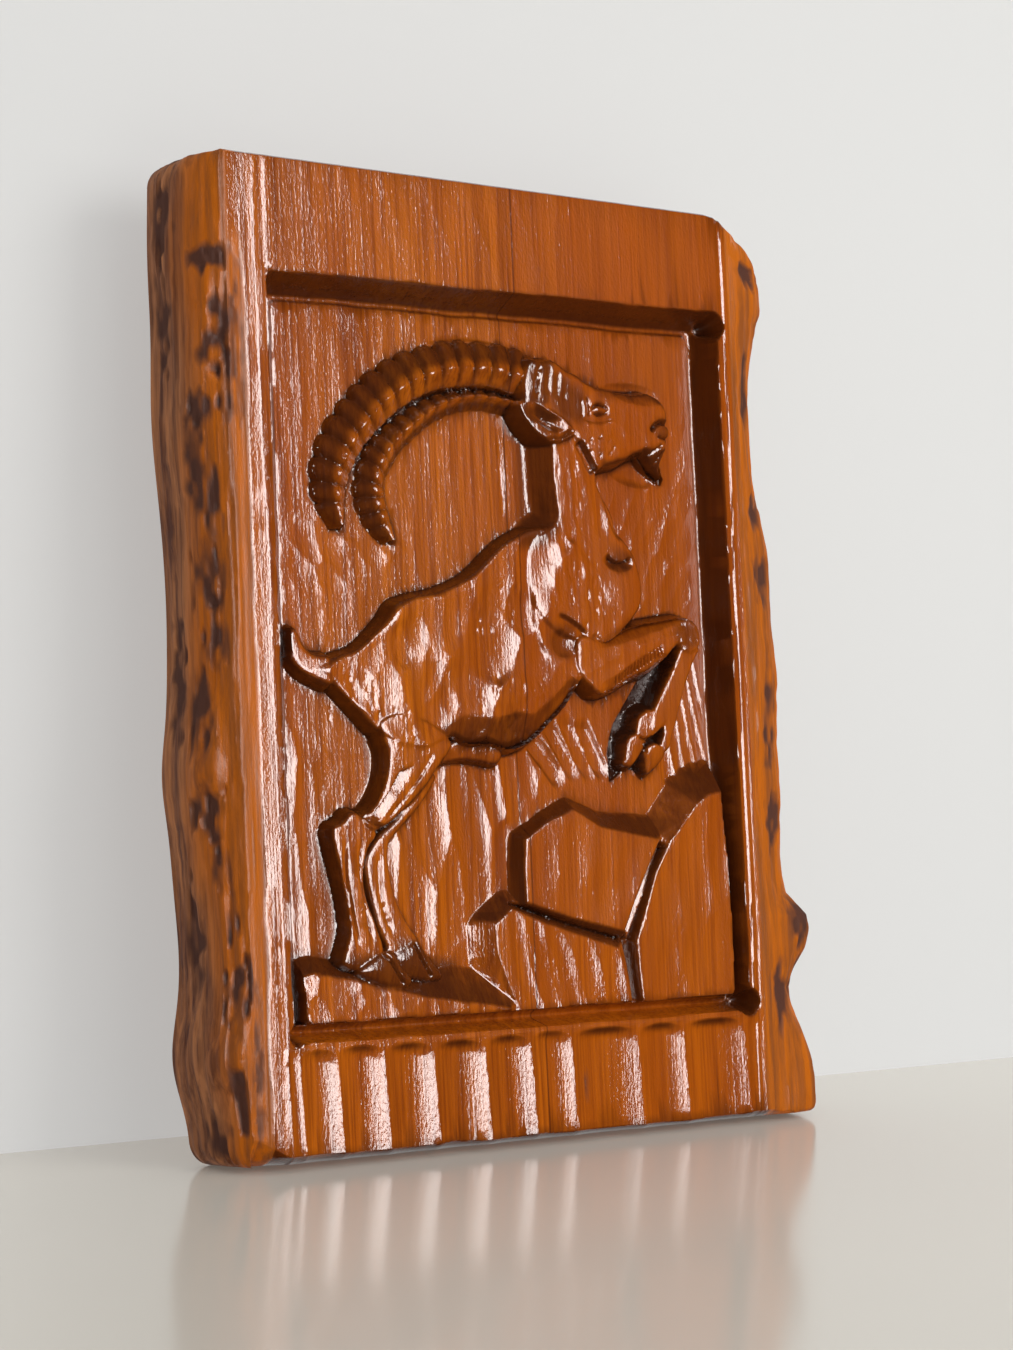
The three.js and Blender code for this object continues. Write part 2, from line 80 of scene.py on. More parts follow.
def smooth_line(points, closed=False, step=1.6):
    """A curve through the points, as rows about step apart. Extra columns run along with it."""
    knots = np.asarray(points, float)
    if closed:
        ring = np.vstack([knots[-1:], knots, knots[:2]])
    else:
        ring = np.vstack([2 * knots[:1] - knots[1:2], knots, 2 * knots[-1:] - knots[-2:-1]])
    rows = []
    for a, b, c, d in zip(ring[:-3], ring[1:-2], ring[2:-1], ring[3:]):
        count = max(1, math.ceil(math.hypot(*(c - b)[:2]) / step))
        t = (np.arange(count) / count)[:, None]
        rows.append(0.5 * (2 * b + (c - a) * t + (2 * a - 5 * b + 4 * c - d) * t ** 2
                           + (3 * b - a - 3 * c + d) * t ** 3))
    line = np.vstack(rows)
    return line if closed else np.vstack([line, knots[-1:]])


def nearest(line, x, z):
    """For each place: distance to the line, share of the way along it, side (+1 is left of its
    run), and the nearest place's x and z."""
    best = np.full(x.shape, 1e12)
    along = np.zeros(x.shape)
    side = np.ones(x.shape)
    near_x = np.zeros(x.shape)
    near_z = np.zeros(x.shape)
    for index, (a, b) in enumerate(zip(line[:-1], line[1:])):
        dx, dz = b[0] - a[0], b[1] - a[1]
        t = np.clip(((x - a[0]) * dx + (z - a[1]) * dz) / (dx * dx + dz * dz + 1e-12), 0, 1)
        px, pz = a[0] + t * dx, a[1] + t * dz
        ex, ez = x - px, z - pz
        away = ex * ex + ez * ez
        closer = away < best
        best = np.where(closer, away, best)
        along = np.where(closer, index + t, along)
        side = np.where(closer, np.where(dx * ez - dz * ex >= 0, 1.0, -1.0), side)
        near_x = np.where(closer, px, near_x)
        near_z = np.where(closer, pz, near_z)
    return np.sqrt(best), along / (len(line) - 1), side, near_x, near_z


def outline(points, step=1.6):
    """A closed curve through the points."""
    return smooth_line(points, closed=True, step=step)


def closed(ring):
    """The ring with its first place repeated at its end."""
    return np.vstack([ring, ring[:1]])


def within(outline, x, z):
    """True where a place lies inside the closed outline."""
    inside = np.zeros(x.shape, bool)
    for a, b in zip(outline, np.roll(outline, -1, axis=0)):
        if a[1] == b[1]:
            continue
        crosses = (a[1] > z) != (b[1] > z)
        inside ^= crosses & (x < (b[0] - a[0]) * (z - a[1]) / (b[1] - a[1]) + a[0])
    return inside


def ease(value, low, high):
    """A smooth step from 0 at low to 1 at high."""
    t = np.clip((value - low) / (high - low), 0, 1)
    return t * t * (3 - 2 * t)


def noise(x, z, size_x, size_z, seed):
    """Smooth noise from -1 to 1 with features of this size."""
    lattice = np.random.default_rng(seed).random((256, 256)) * 2 - 1
    u, v = x / size_x + 61.3, z / size_z + 83.7
    i, j = np.floor(u).astype(int), np.floor(v).astype(int)
    fu, fv = ease(u - i, 0, 1), ease(v - j, 0, 1)
    i, j, i1, j1 = i % 256, j % 256, (i + 1) % 256, (j + 1) % 256
    low = lattice[j, i] * (1 - fu) + lattice[j, i1] * fu
    high = lattice[j1, i] * (1 - fu) + lattice[j1, i1] * fu
    return low * (1 - fv) + high * fv


def tool_marks(x, z, pitch, length, depth, seed, slant=0.0):
    """Shallow scoops side by side in columns: how deep each place is cut, with keen ridges."""
    u = (x + slant * z) / pitch + 0.8 * noise(x, z, 2.5 * pitch, 0.7 * length, seed)
    column = np.floor(u)
    across = 2 * (u - column) - 1
    shift = np.random.default_rng(seed + 7).random(512)[(column.astype(int)) % 512]
    v = z / length + shift
    down = 2 * (v - np.floor(v)) - 1
    return depth * ((1 - across ** 2) * 0.75 + (1 - down ** 2) * 0.25)


def gouged(x, z, width, length, depth, seed, turn=0.0):
    """A patch of short gouge cuts: shallow dishes of this width and length with keen ridges
    where they meet. The result is added to a height and is at most half the depth either way."""
    angle = math.radians(turn)
    u = (x * math.cos(angle) + z * math.sin(angle)) / width + 97.0
    v = (z * math.cos(angle) - x * math.sin(angle)) / length + 91.0
    places = np.random.default_rng(seed).random((64, 64, 2)) * 0.8 + 0.1
    i, j = np.floor(u).astype(int), np.floor(v).astype(int)
    nearest_square = np.full(x.shape, 9.0)
    for di in (-1, 0, 1):
        for dj in (-1, 0, 1):
            place = places[(j + dj) % 64, (i + di) % 64]
            away = (u - i - di - place[..., 0]) ** 2 + (v - j - dj - place[..., 1]) ** 2
            nearest_square = np.minimum(nearest_square, away)
    return depth * (2 * nearest_square - 0.5)


FOOT_REACH = 14.0


class Surface:
    """The front of the board as a net of places with a depth below the front plane."""

    def __init__(self, cell):
        self.cell = cell
        columns = round((FRONT_RIGHT - FRONT_LEFT) / cell)
        rows = round(BOARD_HEIGHT / cell)
        self.columns = np.linspace(FRONT_LEFT, FRONT_RIGHT, columns + 1)
        self.rows = np.linspace(BOARD_LOW, BOARD_TOP, rows + 1)
        self.x, self.z = np.meshgrid(self.columns, self.rows)
        self.height = np.zeros(self.x.shape)
        # Real stain together with painted shade in pockets, under overhangs and on faces turned from
        # the light
        self.stain_and_shade = np.zeros(self.x.shape)
        self.fresh = np.zeros(self.x.shape)
        self.snapping = True

    def window(self, line, margin):
        """The part of the net that lies round a line, without the net's own rim."""
        x0, x1 = line[:, 0].min() - margin, line[:, 0].max() + margin
        z0, z1 = line[:, 1].min() - margin, line[:, 1].max() + margin
        i0, i1 = np.searchsorted(self.columns, [x0, x1])
        j0, j1 = np.searchsorted(self.rows, [z0, z1])
        rows = slice(max(j0, 1), min(j1, len(self.rows) - 1))
        return rows, slice(max(i0, 1), min(i1, len(self.columns) - 1))

    def snap(self, line):
        """Moves the net's places that lie within half a cell of a keen line onto it."""
        area = self.window(line, self.cell)
        x, z = self.x[area], self.z[area]
        away, _, _, near_x, near_z = nearest(line, x, z)
        move = away < 0.48 * self.cell
        self.x[area] = np.where(move, near_x, x)
        self.z[area] = np.where(move, near_z, z)

    def raise_form(self, outline, top, edge=2.0, round_over=5.0, wall=3.0, blend=0.4, keen=0.0):
        """Raises a form with this outline at its shoulder. top is its height, edge how far it
        drops over round_over towards its shoulder, wall how steeply it falls outside, and keen
        how far its crest is a ridge. Each may be a number or a function of x and z."""
        outline = np.asarray(outline, float)
        ring = closed(outline)
        if self.snapping:
            self.snap(ring)
            return
        area = self.window(outline, FOOT_REACH)
        x, z = self.x[area], self.z[area]
        value = [item(x, z) if callable(item) else item for item in (top, edge, round_over, wall)]
        top_here, edge_here, round_here, wall_here = value
        away = nearest(ring, x, z)[0]
        inside = within(outline, x, z)
        share = np.clip(away / round_here, 0, 1)
        rounded = 1 - np.sqrt(np.clip(1 - (1 - share) ** 2, 0, 1))
        drop = np.where(inside, edge_here * ((1 - keen) * rounded + keen * (1 - share)),
                        edge_here + away * wall_here)
        form = top_here - drop
        here = self.height[area]
        overlap = np.clip(blend - np.abs(form - here), 0, None)
        self.height[area] = np.maximum(form, here) + overlap ** 2 / (4 * blend)

    def cut(self, line, width, depth, shape=1.0, lean=0.0, fade=0.2):
        """Cuts a groove along a line: shape 1 is a V and 2 a U, lean makes its left side wider,
        fade is the share of its length over which each end runs out."""
        line = np.asarray(line, float)
        if self.snapping:
            if shape < 1.5:
                self.snap(line)
            return
        area = self.window(line, width)
        away, along, side, _, _ = nearest(line, self.x[area], self.z[area])
        half = width / 2 * (1 + lean * side)
        deep = np.clip(1 - (away / half) ** shape, 0, 1)
        ends = ease(along, -1e-6, fade) * ease(1 - along, -1e-6, fade) if fade else 1.0
        self.height[area] -= depth * deep * ends

    def groove(self, points, width, depth, **profile):
        """Cuts a groove along a curve through the points."""
        self.cut(smooth_line(points), width, depth, **profile)

    def scoop(self, centre, size, depth, turn=0.0, soft=False):
        """Takes an oval hollow out of the surface, or adds a swelling where depth is negative."""
        if self.snapping:
            return
        reach = max(size)
        box = np.array([[centre[0] - reach, centre[1] - reach], [centre[0] + reach, centre[1] + reach]])
        area = self.window(box, 0.0)
        x, z = self.x[area] - centre[0], self.z[area] - centre[1]
        angle = math.radians(turn)
        u = (x * math.cos(angle) + z * math.sin(angle)) / size[0]
        v = (z * math.cos(angle) - x * math.sin(angle)) / size[1]
        bowl = np.clip(1 - u * u - v * v, 0, 1)
        self.height[area] -= depth * (bowl ** 2 if soft else bowl)

    def darken(self, outline, amount, margin=1.5):
        """Darkens the inside of an outline with stain and painted shade, eased over the margin on
        both sides.
        """
        if self.snapping:
            return
        outline = np.asarray(outline, float)
        area = self.window(outline, margin)
        x, z = self.x[area], self.z[area]
        away = nearest(closed(outline), x, z)[0]
        signed = np.where(within(outline, x, z), away, -away)
        self.stain_and_shade[area] = np.maximum(self.stain_and_shade[area], amount * ease(signed, -margin, margin))

    def wipe(self, outline, left=0.1, fresh=0.6):
        """Takes stain and painted shade off a raised part down to what is left, its slopes too by a
        share.
        """
        if self.snapping:
            return
        outline = np.asarray(outline, float)
        area = self.window(outline, 0.0)
        inside = within(outline, self.x[area], self.z[area])
        self.stain_and_shade[area] = np.where(inside, np.minimum(self.stain_and_shade[area], left), self.stain_and_shade[area])
        self.fresh[area] = np.where(inside, fresh, self.fresh[area])

    def wear(self, outline, amount, margin=2.0):
        """Adds a function of x and z to the height inside an outline, eased in at its edge."""
        if self.snapping:
            return
        outline = np.asarray(outline, float)
        area = self.window(outline, 0.0)
        x, z = self.x[area], self.z[area]
        away = nearest(closed(outline), x, z)[0]
        weight = np.where(within(outline, x, z), ease(away, 0, margin), 0)
        self.height[area] += amount(x, z) * weight

    def gouge(self, outline, width, length, depth, seed, turn, margin):
        """Covers the inside of an outline with short gouge cuts."""
        self.wear(outline, lambda x, z: gouged(x, z, width, length, depth, seed, turn), margin)


def along_axis(start, end, low, high):
    """A height that goes from low at one place to high at another."""
    dx, dz = end[0] - start[0], end[1] - start[1]
    length = dx * dx + dz * dz

    def height(x, z):
        t = np.clip(((x - start[0]) * dx + (z - start[1]) * dz) / length, 0, 1)
        return low + (high - low) * t

    return height


# The ground and the rocks

ROCKS = {
    "left": dict(
        face=[(99, 45), (115, 38.5), (130, 33.5), (147.5, 28), (150.5, 18), (153, 5), (153, -15),
              (100, -15), (99, 8), (95, 18), (91.5, 28), (91, 39)],
        tilt=((96, 10), (150, 25), 5.8, 7.2), wall=lambda x, z: 0.58 + 0.25 * ease(z, 38, 44)),
    "middle": dict(
        face=[(105.5, 46.4), (105.4, 60.4), (106.3, 70.8), (117.4, 77.6), (128.9, 82), (141.6, 75),
              (157.3, 71.8), (169.5, 69.5), (163, 57), (156, 44), (150.5, 33.5), (125.6, 40)],
        tilt=((108, 50), (165, 68), 6.4, 7.4),
        wall=lambda x, z: np.interp(x, [100, 112, 126, 140, 157, 172],
                                    [1.3, 2.0, 1.5, 1.1, 0.85, 0.7])),
    "right": dict(
        face=[(174.2, 69), (182.5, 77.5), (187.5, 83), (194, 87), (204, 88.5), (230, 89), (230, -15),
              (157.5, -15), (157.5, 6), (155.5, 30), (160.5, 42), (166.5, 57)],
        tilt=((158, 20), (205, 60), 7.2, 8.6), wall=lambda x, z: np.where(z > 66, 0.68, 2.6)),
}
# Facets of the rocks: centre, half sizes, depth and turn
ROCK_FACETS = [
    ((104, 24), (5, 24), 0.7, 14), ((113, 20), (5.5, 24), 0.9, 16), ((123, 16), (6, 24), 0.9, 18),
    ((134, 13), (6, 22), 0.7, 12), ((145, 12), (5, 20), 0.6, 4), ((115, 58), (6, 20), 0.35, 0),
    ((127, 55), (7, 22), 0.45, -4), ((140, 48), (9, 14), 0.5, -20), ((154, 58), (6, 14), 0.35, -18),
    ((186, 58), (8, 30), 0.6, -2), ((198, 66), (6, 24), 0.8, 0), ((172, 40), (9, 26), 0.4, -6),
    ((190, 20), (12, 20), 0.4, 0), ((171, 12), (9, 18), 0.35, 0),
]
LEDGE = [(-15, 22), (2, 22), (13, 25.5), (22, 23), (30, 22), (38, 19), (48, 17), (60, 14), (80, 11),
         (97, 8), (97, -15), (-15, -15)]


def carve_ground(surface):
    """The gouged ground of the field, smooth within the horns and rougher near the animal."""
    everywhere = np.array([[4.0, 4.0], [204.0, 4.0], [204.0, 276.0], [4.0, 276.0]])
    surface.wear(everywhere, lambda x, z: 0.08 * noise(x, z, 4, 18, 11) + 0.05 * noise(x, z, 2, 8, 12),
                 1.0)
    surface.gouge(everywhere, 9, 26, 0.16, 21, 4, 1.0)
    belly = outline([(30, 34), (72, 28), (96, 50), (98, 72), (120, 88), (120, 108), (98, 104), (70, 98),
                     (48, 74)])
    surface.wear(belly, lambda x, z: gouged(x + 0.0012 * (z - 50) ** 2, z, 9, 34, 0.8, 33, 3), 4.0)
    low_left = outline([(3, 30), (19, 30), (19, 76), (26, 92), (26, 106), (3, 110)])
    surface.gouge(low_left, 8, 26, 0.6, 35, 3, 4.0)
    beside_leg = outline([(176, 94), (202, 96), (202, 150), (190, 142)])
    surface.wear(beside_leg, lambda x, z: -tool_marks(x, z, 5.4, 90, 0.8, 37, 0.13), 2.0)
    chest = outline([(158, 165), (199, 160), (199, 240), (170, 210), (156, 205)])
    surface.gouge(chest, 7, 16, 0.55, 39, -24, 4.0)
    above_back = outline([(14, 160), (60, 176), (60, 190), (38, 186), (16, 200)])
    surface.gouge(above_back, 8, 14, 0.45, 40, 30, 4.0)
    for start, end, width in [((121, 117), (136, 92), 8), ((129, 119), (143, 92), 8),
                              ((112, 111), (129, 90), 9), ((137, 118), (149, 92), 7)]:
        surface.cut([start, end], width, 1.5, shape=2.0, lean=0.3, fade=0.25)
    surface.groove([(70, 259), (90, 262.5), (105, 262), (121, 259)], 3.0, -0.5, shape=2.0)
    surface.groove([(105.5, 229), (106.5, 210), (105.5, 192)], 2.5, 0.3, lean=0.6)


def carve_rocks(surface):
    """The ledge under the hooves and the three rocks, with the grooves between them."""
    surface.raise_form(LEDGE, along_axis((40, 4), (40, 24), 7.2, 6.2), edge=0.6, round_over=1.8,
                       wall=lambda x, z: 0.95 - 0.5 * ease(x, 45, 75))
    for rock in ROCKS.values():
        surface.raise_form(rock["face"], along_axis(*rock["tilt"]), edge=0.5, round_over=1.2,
                           wall=rock["wall"], blend=0.15)
        surface.gouge(rock["face"], 10, 24, 0.22, 45, 4, 1.5)
    for centre, size, depth, turn in ROCK_FACETS:
        surface.scoop(centre, size, depth, turn)
    surface.gouge(LEDGE, 9, 9, 0.5, 46, 20, 2.0)
    surface.cut([(171, 68.5), (163.5, 57), (156.5, 44), (151.5, 33)], 3.6, 3.0, lean=0.35, fade=0.05)
    surface.groove([(151.5, 33), (153.5, 20), (155.8, -4)], 3.8, 2.6, fade=0.04)
    surface.groove([(98, 47), (106, 44.8), (125.6, 38), (150.5, 31)], 3.0, 2.4, lean=-0.4, fade=0.05)


# The animal

HORN_RINGS = 17
PIT_DEPTH = 3.0
HAIR_CURLS = 15


def carve_horn(surface, outer, inner, height, tip_height, knob, inner_wall):
    """A horn between its outer and inner foot lines, with a crest and a knob for each ring."""
    outer_line, inner_line = smooth_line(outer, step=1.2), smooth_line(inner, step=1.2)
    foot = np.vstack([outer_line, inner_line[::-1]])
    if surface.snapping:
        surface.snap(closed(foot))
        return
    area = surface.window(foot, 6.0)
    x, z = surface.x[area], surface.z[area]
    out_away, out_along = nearest(outer_line, x, z)[:2]
    in_away, in_along = nearest(inner_line, x, z)[:2]
    across = in_away / (in_away + out_away + 1e-6)
    along = (out_along + in_along) / 2
    beat = (along * HORN_RINGS + 0.3 * (across - 0.5)) % 1.0
    swollen = 1 - np.abs(2 * beat - 1) ** 2.6
    notch = 1 - swollen
    fade = ease(1 - along, 0.0, 0.10) * ease(along, 0.03, 0.08)
    outer_side = out_away < in_away
    edge = np.where(within(foot, x, z), 1, -1) * np.minimum(in_away, out_away)
    edge = edge + np.where(outer_side, 1.5 * (swollen - 0.65) * fade * knob,
                           0.4 * (swollen - 0.6) * fade)
    crest = 0.40
    slope = np.clip(np.where(across < crest, across / crest, (1 - across) / (1 - crest)), 0, 1)
    slope = slope - 0.14 * np.exp(-((across - crest) / 0.09) ** 2)
    lift = np.where(across < crest, 0.52, 0.34)
    rise = height - (height - tip_height) * ease(along, 0.75, 1.0)
    body = rise * (lift + (1 - lift) * slope) - knob * fade * notch * (0.45 + 0.75 * slope)
    body = body + 0.75 * knob * fade * swollen * np.exp(-((across - crest) / 0.16) ** 2)
    side = np.where(outer_side, rise * 0.24 + 3.4 * edge, rise * 0.46 + inner_wall * edge)
    form = np.where(edge > 0, body * np.where(outer_side, 0.72 + 0.28 * np.clip(edge / 1.2, 0, 1), 1.0),
                    side)
    surface.height[area] = np.maximum(surface.height[area], form)
    # Painted shade: outer side and ring notches darker, inner side and knob tops lighter, a dark band
    # by the inner foot
    shade = np.clip(0.08 + 0.75 * ease(across, 0.42, 0.66) + 0.75 * notch * fade, 0, 1)
    shade = np.where(edge > 0, shade, 0.85 * ease(edge, -3.6, -2.2) * ~outer_side)
    surface.stain_and_shade[area] = np.where(edge > -3.6, np.maximum(shade, surface.stain_and_shade[area] * (edge <= 0)),
                                   surface.stain_and_shade[area])
    surface.fresh[area] = np.where(edge > 0.3, 0.75, surface.fresh[area])


NEAR_HORN_OUTER = [(126, 256.5), (117, 260.5), (106, 262), (95, 262), (84, 261.5), (73, 258.5),
                   (61, 254.5), (51, 248.5), (42, 241.5), (34, 232.5), (27, 223), (23, 213),
                   (21.8, 204), (24, 195), (29, 187.5)]
NEAR_HORN_INNER = [(121, 241), (111, 243), (102, 245), (93, 245), (84, 244), (75, 242), (66, 238),
                   (58, 233), (51, 227), (44, 220), (39, 213), (36, 206.5), (34.5, 201), (34, 195),
                   (33, 188)]
FAR_HORN_OUTER = [(112, 242), (98, 243.5), (90, 243.2), (79, 241), (69.5, 237), (61, 231.5),
                  (52.5, 225.5), (45.5, 218.5), (41.5, 210), (40, 201), (42.5, 192.5), (46.5, 187),
                  (52, 182.5)]
FAR_HORN_INNER = [(112, 237.5), (100, 238.8), (91, 238.5), (81, 235.6), (73, 231.5), (65.5, 225.8),
                  (59, 219.8), (54.5, 213.5), (51.5, 208), (51, 202.5), (52, 196.5), (54, 190.5),
                  (55.5, 184.5)]

HEAD = [(116, 256), (122, 255.5), (127, 256.5), (133, 253.2), (138, 251.7), (142, 249.2),
        (146, 247.8), (152, 246.8), (160, 246.2), (168, 246.2), (174, 247), (178, 245.6),
        (180.5, 243.5), (182.3, 240), (182.6, 235.5), (183.2, 231.5), (181.8, 228), (180.8, 223),
        (180.2, 218), (182.3, 214), (178, 217), (174.5, 219.5), (170.5, 223.2), (165, 222),
        (158, 218.5), (150, 216.3), (145, 214), (140, 220.5), (135, 227), (126, 227), (117, 229),
        (113, 238), (113, 248)]
NECK = [(125.5, 232), (125.2, 222), (125.2, 212), (125.8, 203), (126.5, 196), (122, 190), (116, 186),
        (112, 176), (114, 160), (124, 150), (138, 147), (148, 146.5), (155, 151.5), (161, 157),
        (165, 163), (165.5, 170), (164, 177), (162, 182), (158, 187), (155, 190), (153, 197),
        (151, 201), (147, 208), (146, 216), (146, 226), (136, 234)]
TRUNK = [(15, 134), (22, 137.5), (28, 139.8), (35, 142), (42, 147.5), (48.5, 153.8), (52.5, 159),
         (60, 162), (70, 164), (80, 167.5), (88, 172), (95, 178), (101, 183), (108, 187), (116, 190),
         (128, 190), (140, 180), (150, 165), (152, 150), (144, 139), (134, 131), (127, 122),
         (119, 115), (113, 110), (107, 106.5), (100, 105), (92, 107), (82, 107), (74, 110), (62, 106),
         (50, 108), (40, 114), (31, 123), (22, 131)]
TAIL = [(24, 139), (17, 140.5), (13.5, 143.5), (11.5, 148), (9.5, 150), (7.8, 148), (7, 143),
        (8, 138), (12, 133.5), (18, 130.5), (24, 129)]
THIGH = [(34, 141), (30, 132), (31, 124), (37, 118), (41, 113.5), (44, 109), (46, 104), (45.5, 97),
         (43, 90), (39, 84), (34, 79.5), (38, 75.5), (45, 78), (52, 83), (60, 90), (67, 98),
         (73, 105), (78, 113), (80, 122), (76, 134), (66, 144), (52, 149), (42, 147)]
LEG = [(43.5, 115), (44.5, 109), (46, 104), (45.5, 97), (43, 90), (39, 84), (34, 79.5), (38, 75.5),
       (45, 78), (52, 83), (60, 90), (67, 98), (73, 105), (73, 109), (64, 115), (52, 118)]
CANNON = [(31, 82.5), (26, 79), (21.5, 76.5), (22, 70), (24, 62), (26, 54), (27, 48), (27.5, 40),
          (25.5, 33), (24, 27.5), (30, 25), (41, 30), (39, 40), (36, 48), (34.5, 55), (34.5, 62),
          (36.5, 69), (40, 75)]
FAR_LEG = [(62, 97), (58, 88), (50, 79.5), (43, 74), (38, 68), (36, 63), (37, 55), (39, 46), (41, 39),
           (44, 33), (46, 29), (58, 33), (54, 40), (50.5, 46), (48, 53), (46.5, 60), (46, 66),
           (47, 71), (51, 75.5), (57, 81), (62, 86), (68, 95)]
NEAR_HOOF = [(30, 24.5), (36, 29), (41, 31), (46, 30), (49, 25.5), (54, 20), (50, 17.2), (41, 18.3),
             (34, 21.5)]
FAR_HOOF = [(46, 29), (52, 33.5), (57, 34.5), (61.5, 28.5), (68, 21), (64, 19.3), (56, 20.5),
            (50, 23)]
UPPER_ARM = [(134, 148), (146.2, 146.8), (153, 150), (160, 152.7), (166, 154.2), (172.8, 155.2),
             (181.3, 156.6), (186.7, 156.6), (191.5, 154), (193, 147.5), (190, 143.5), (184.5, 143.5),
             (181.9, 146.5), (175.6, 141.2), (166.8, 135.1), (160.2, 133.2), (149.9, 128),
             (142.8, 126.7), (139, 129), (133, 136)]
FORE_CANNON = [(184, 146), (178.8, 135.2), (173.4, 125), (172, 121), (173.5, 117), (174, 111),
               (172, 106), (174.2, 103.5), (176.5, 105.5), (179.8, 113.7), (181, 118.5),
               (184.3, 127.2), (186, 132.1), (189.3, 138.5), (193, 144.4), (190, 147)]
CANNON_FLANK = [(186.5, 148), (179, 136.2), (174.3, 128.4), (169.6, 120.6), (166.5, 117.7),
                (169, 112), (176, 116), (181, 128), (187, 141)]
FETLOCK = [(163, 118), (168, 120.5), (174, 119.5), (174.5, 114.5), (169, 110), (165, 108.3),
           (161, 110.5), (161.5, 114.5)]
LEFT_TOE = [(162.1, 111), (157, 108.6), (156, 102.2), (155.3, 99), (159, 98), (163.4, 103.4),
            (165.8, 108.4)]
RIGHT_TOE = [(164.6, 104), (170.1, 107), (174.3, 103.1), (171, 98), (166.5, 95.2), (165.4, 100.2)]
PIT = [(187, 147), (173.6, 136), (167.3, 132.6), (162.2, 125.8), (154.4, 115.2), (152.4, 110.4),
       (150.8, 103.7), (151.3, 91.8), (158.7, 96.9), (162.8, 96.9), (166.7, 92.6), (171.1, 95.9),
       (174, 104), (178, 114), (182, 128), (188, 140)]
KNEE = [(181, 154), (185.9, 156), (191, 153.6), (191.6, 146.5), (187.1, 144.5), (182.8, 143.4),
        (181, 148.2)]
EAR = [(110.5, 238.8), (116.9, 240), (124.3, 237.4), (130.5, 233.6), (135.2, 228.2), (130.5, 225.3),
       (125.5, 224.2), (120, 226), (115.5, 229.5), (112, 234)]


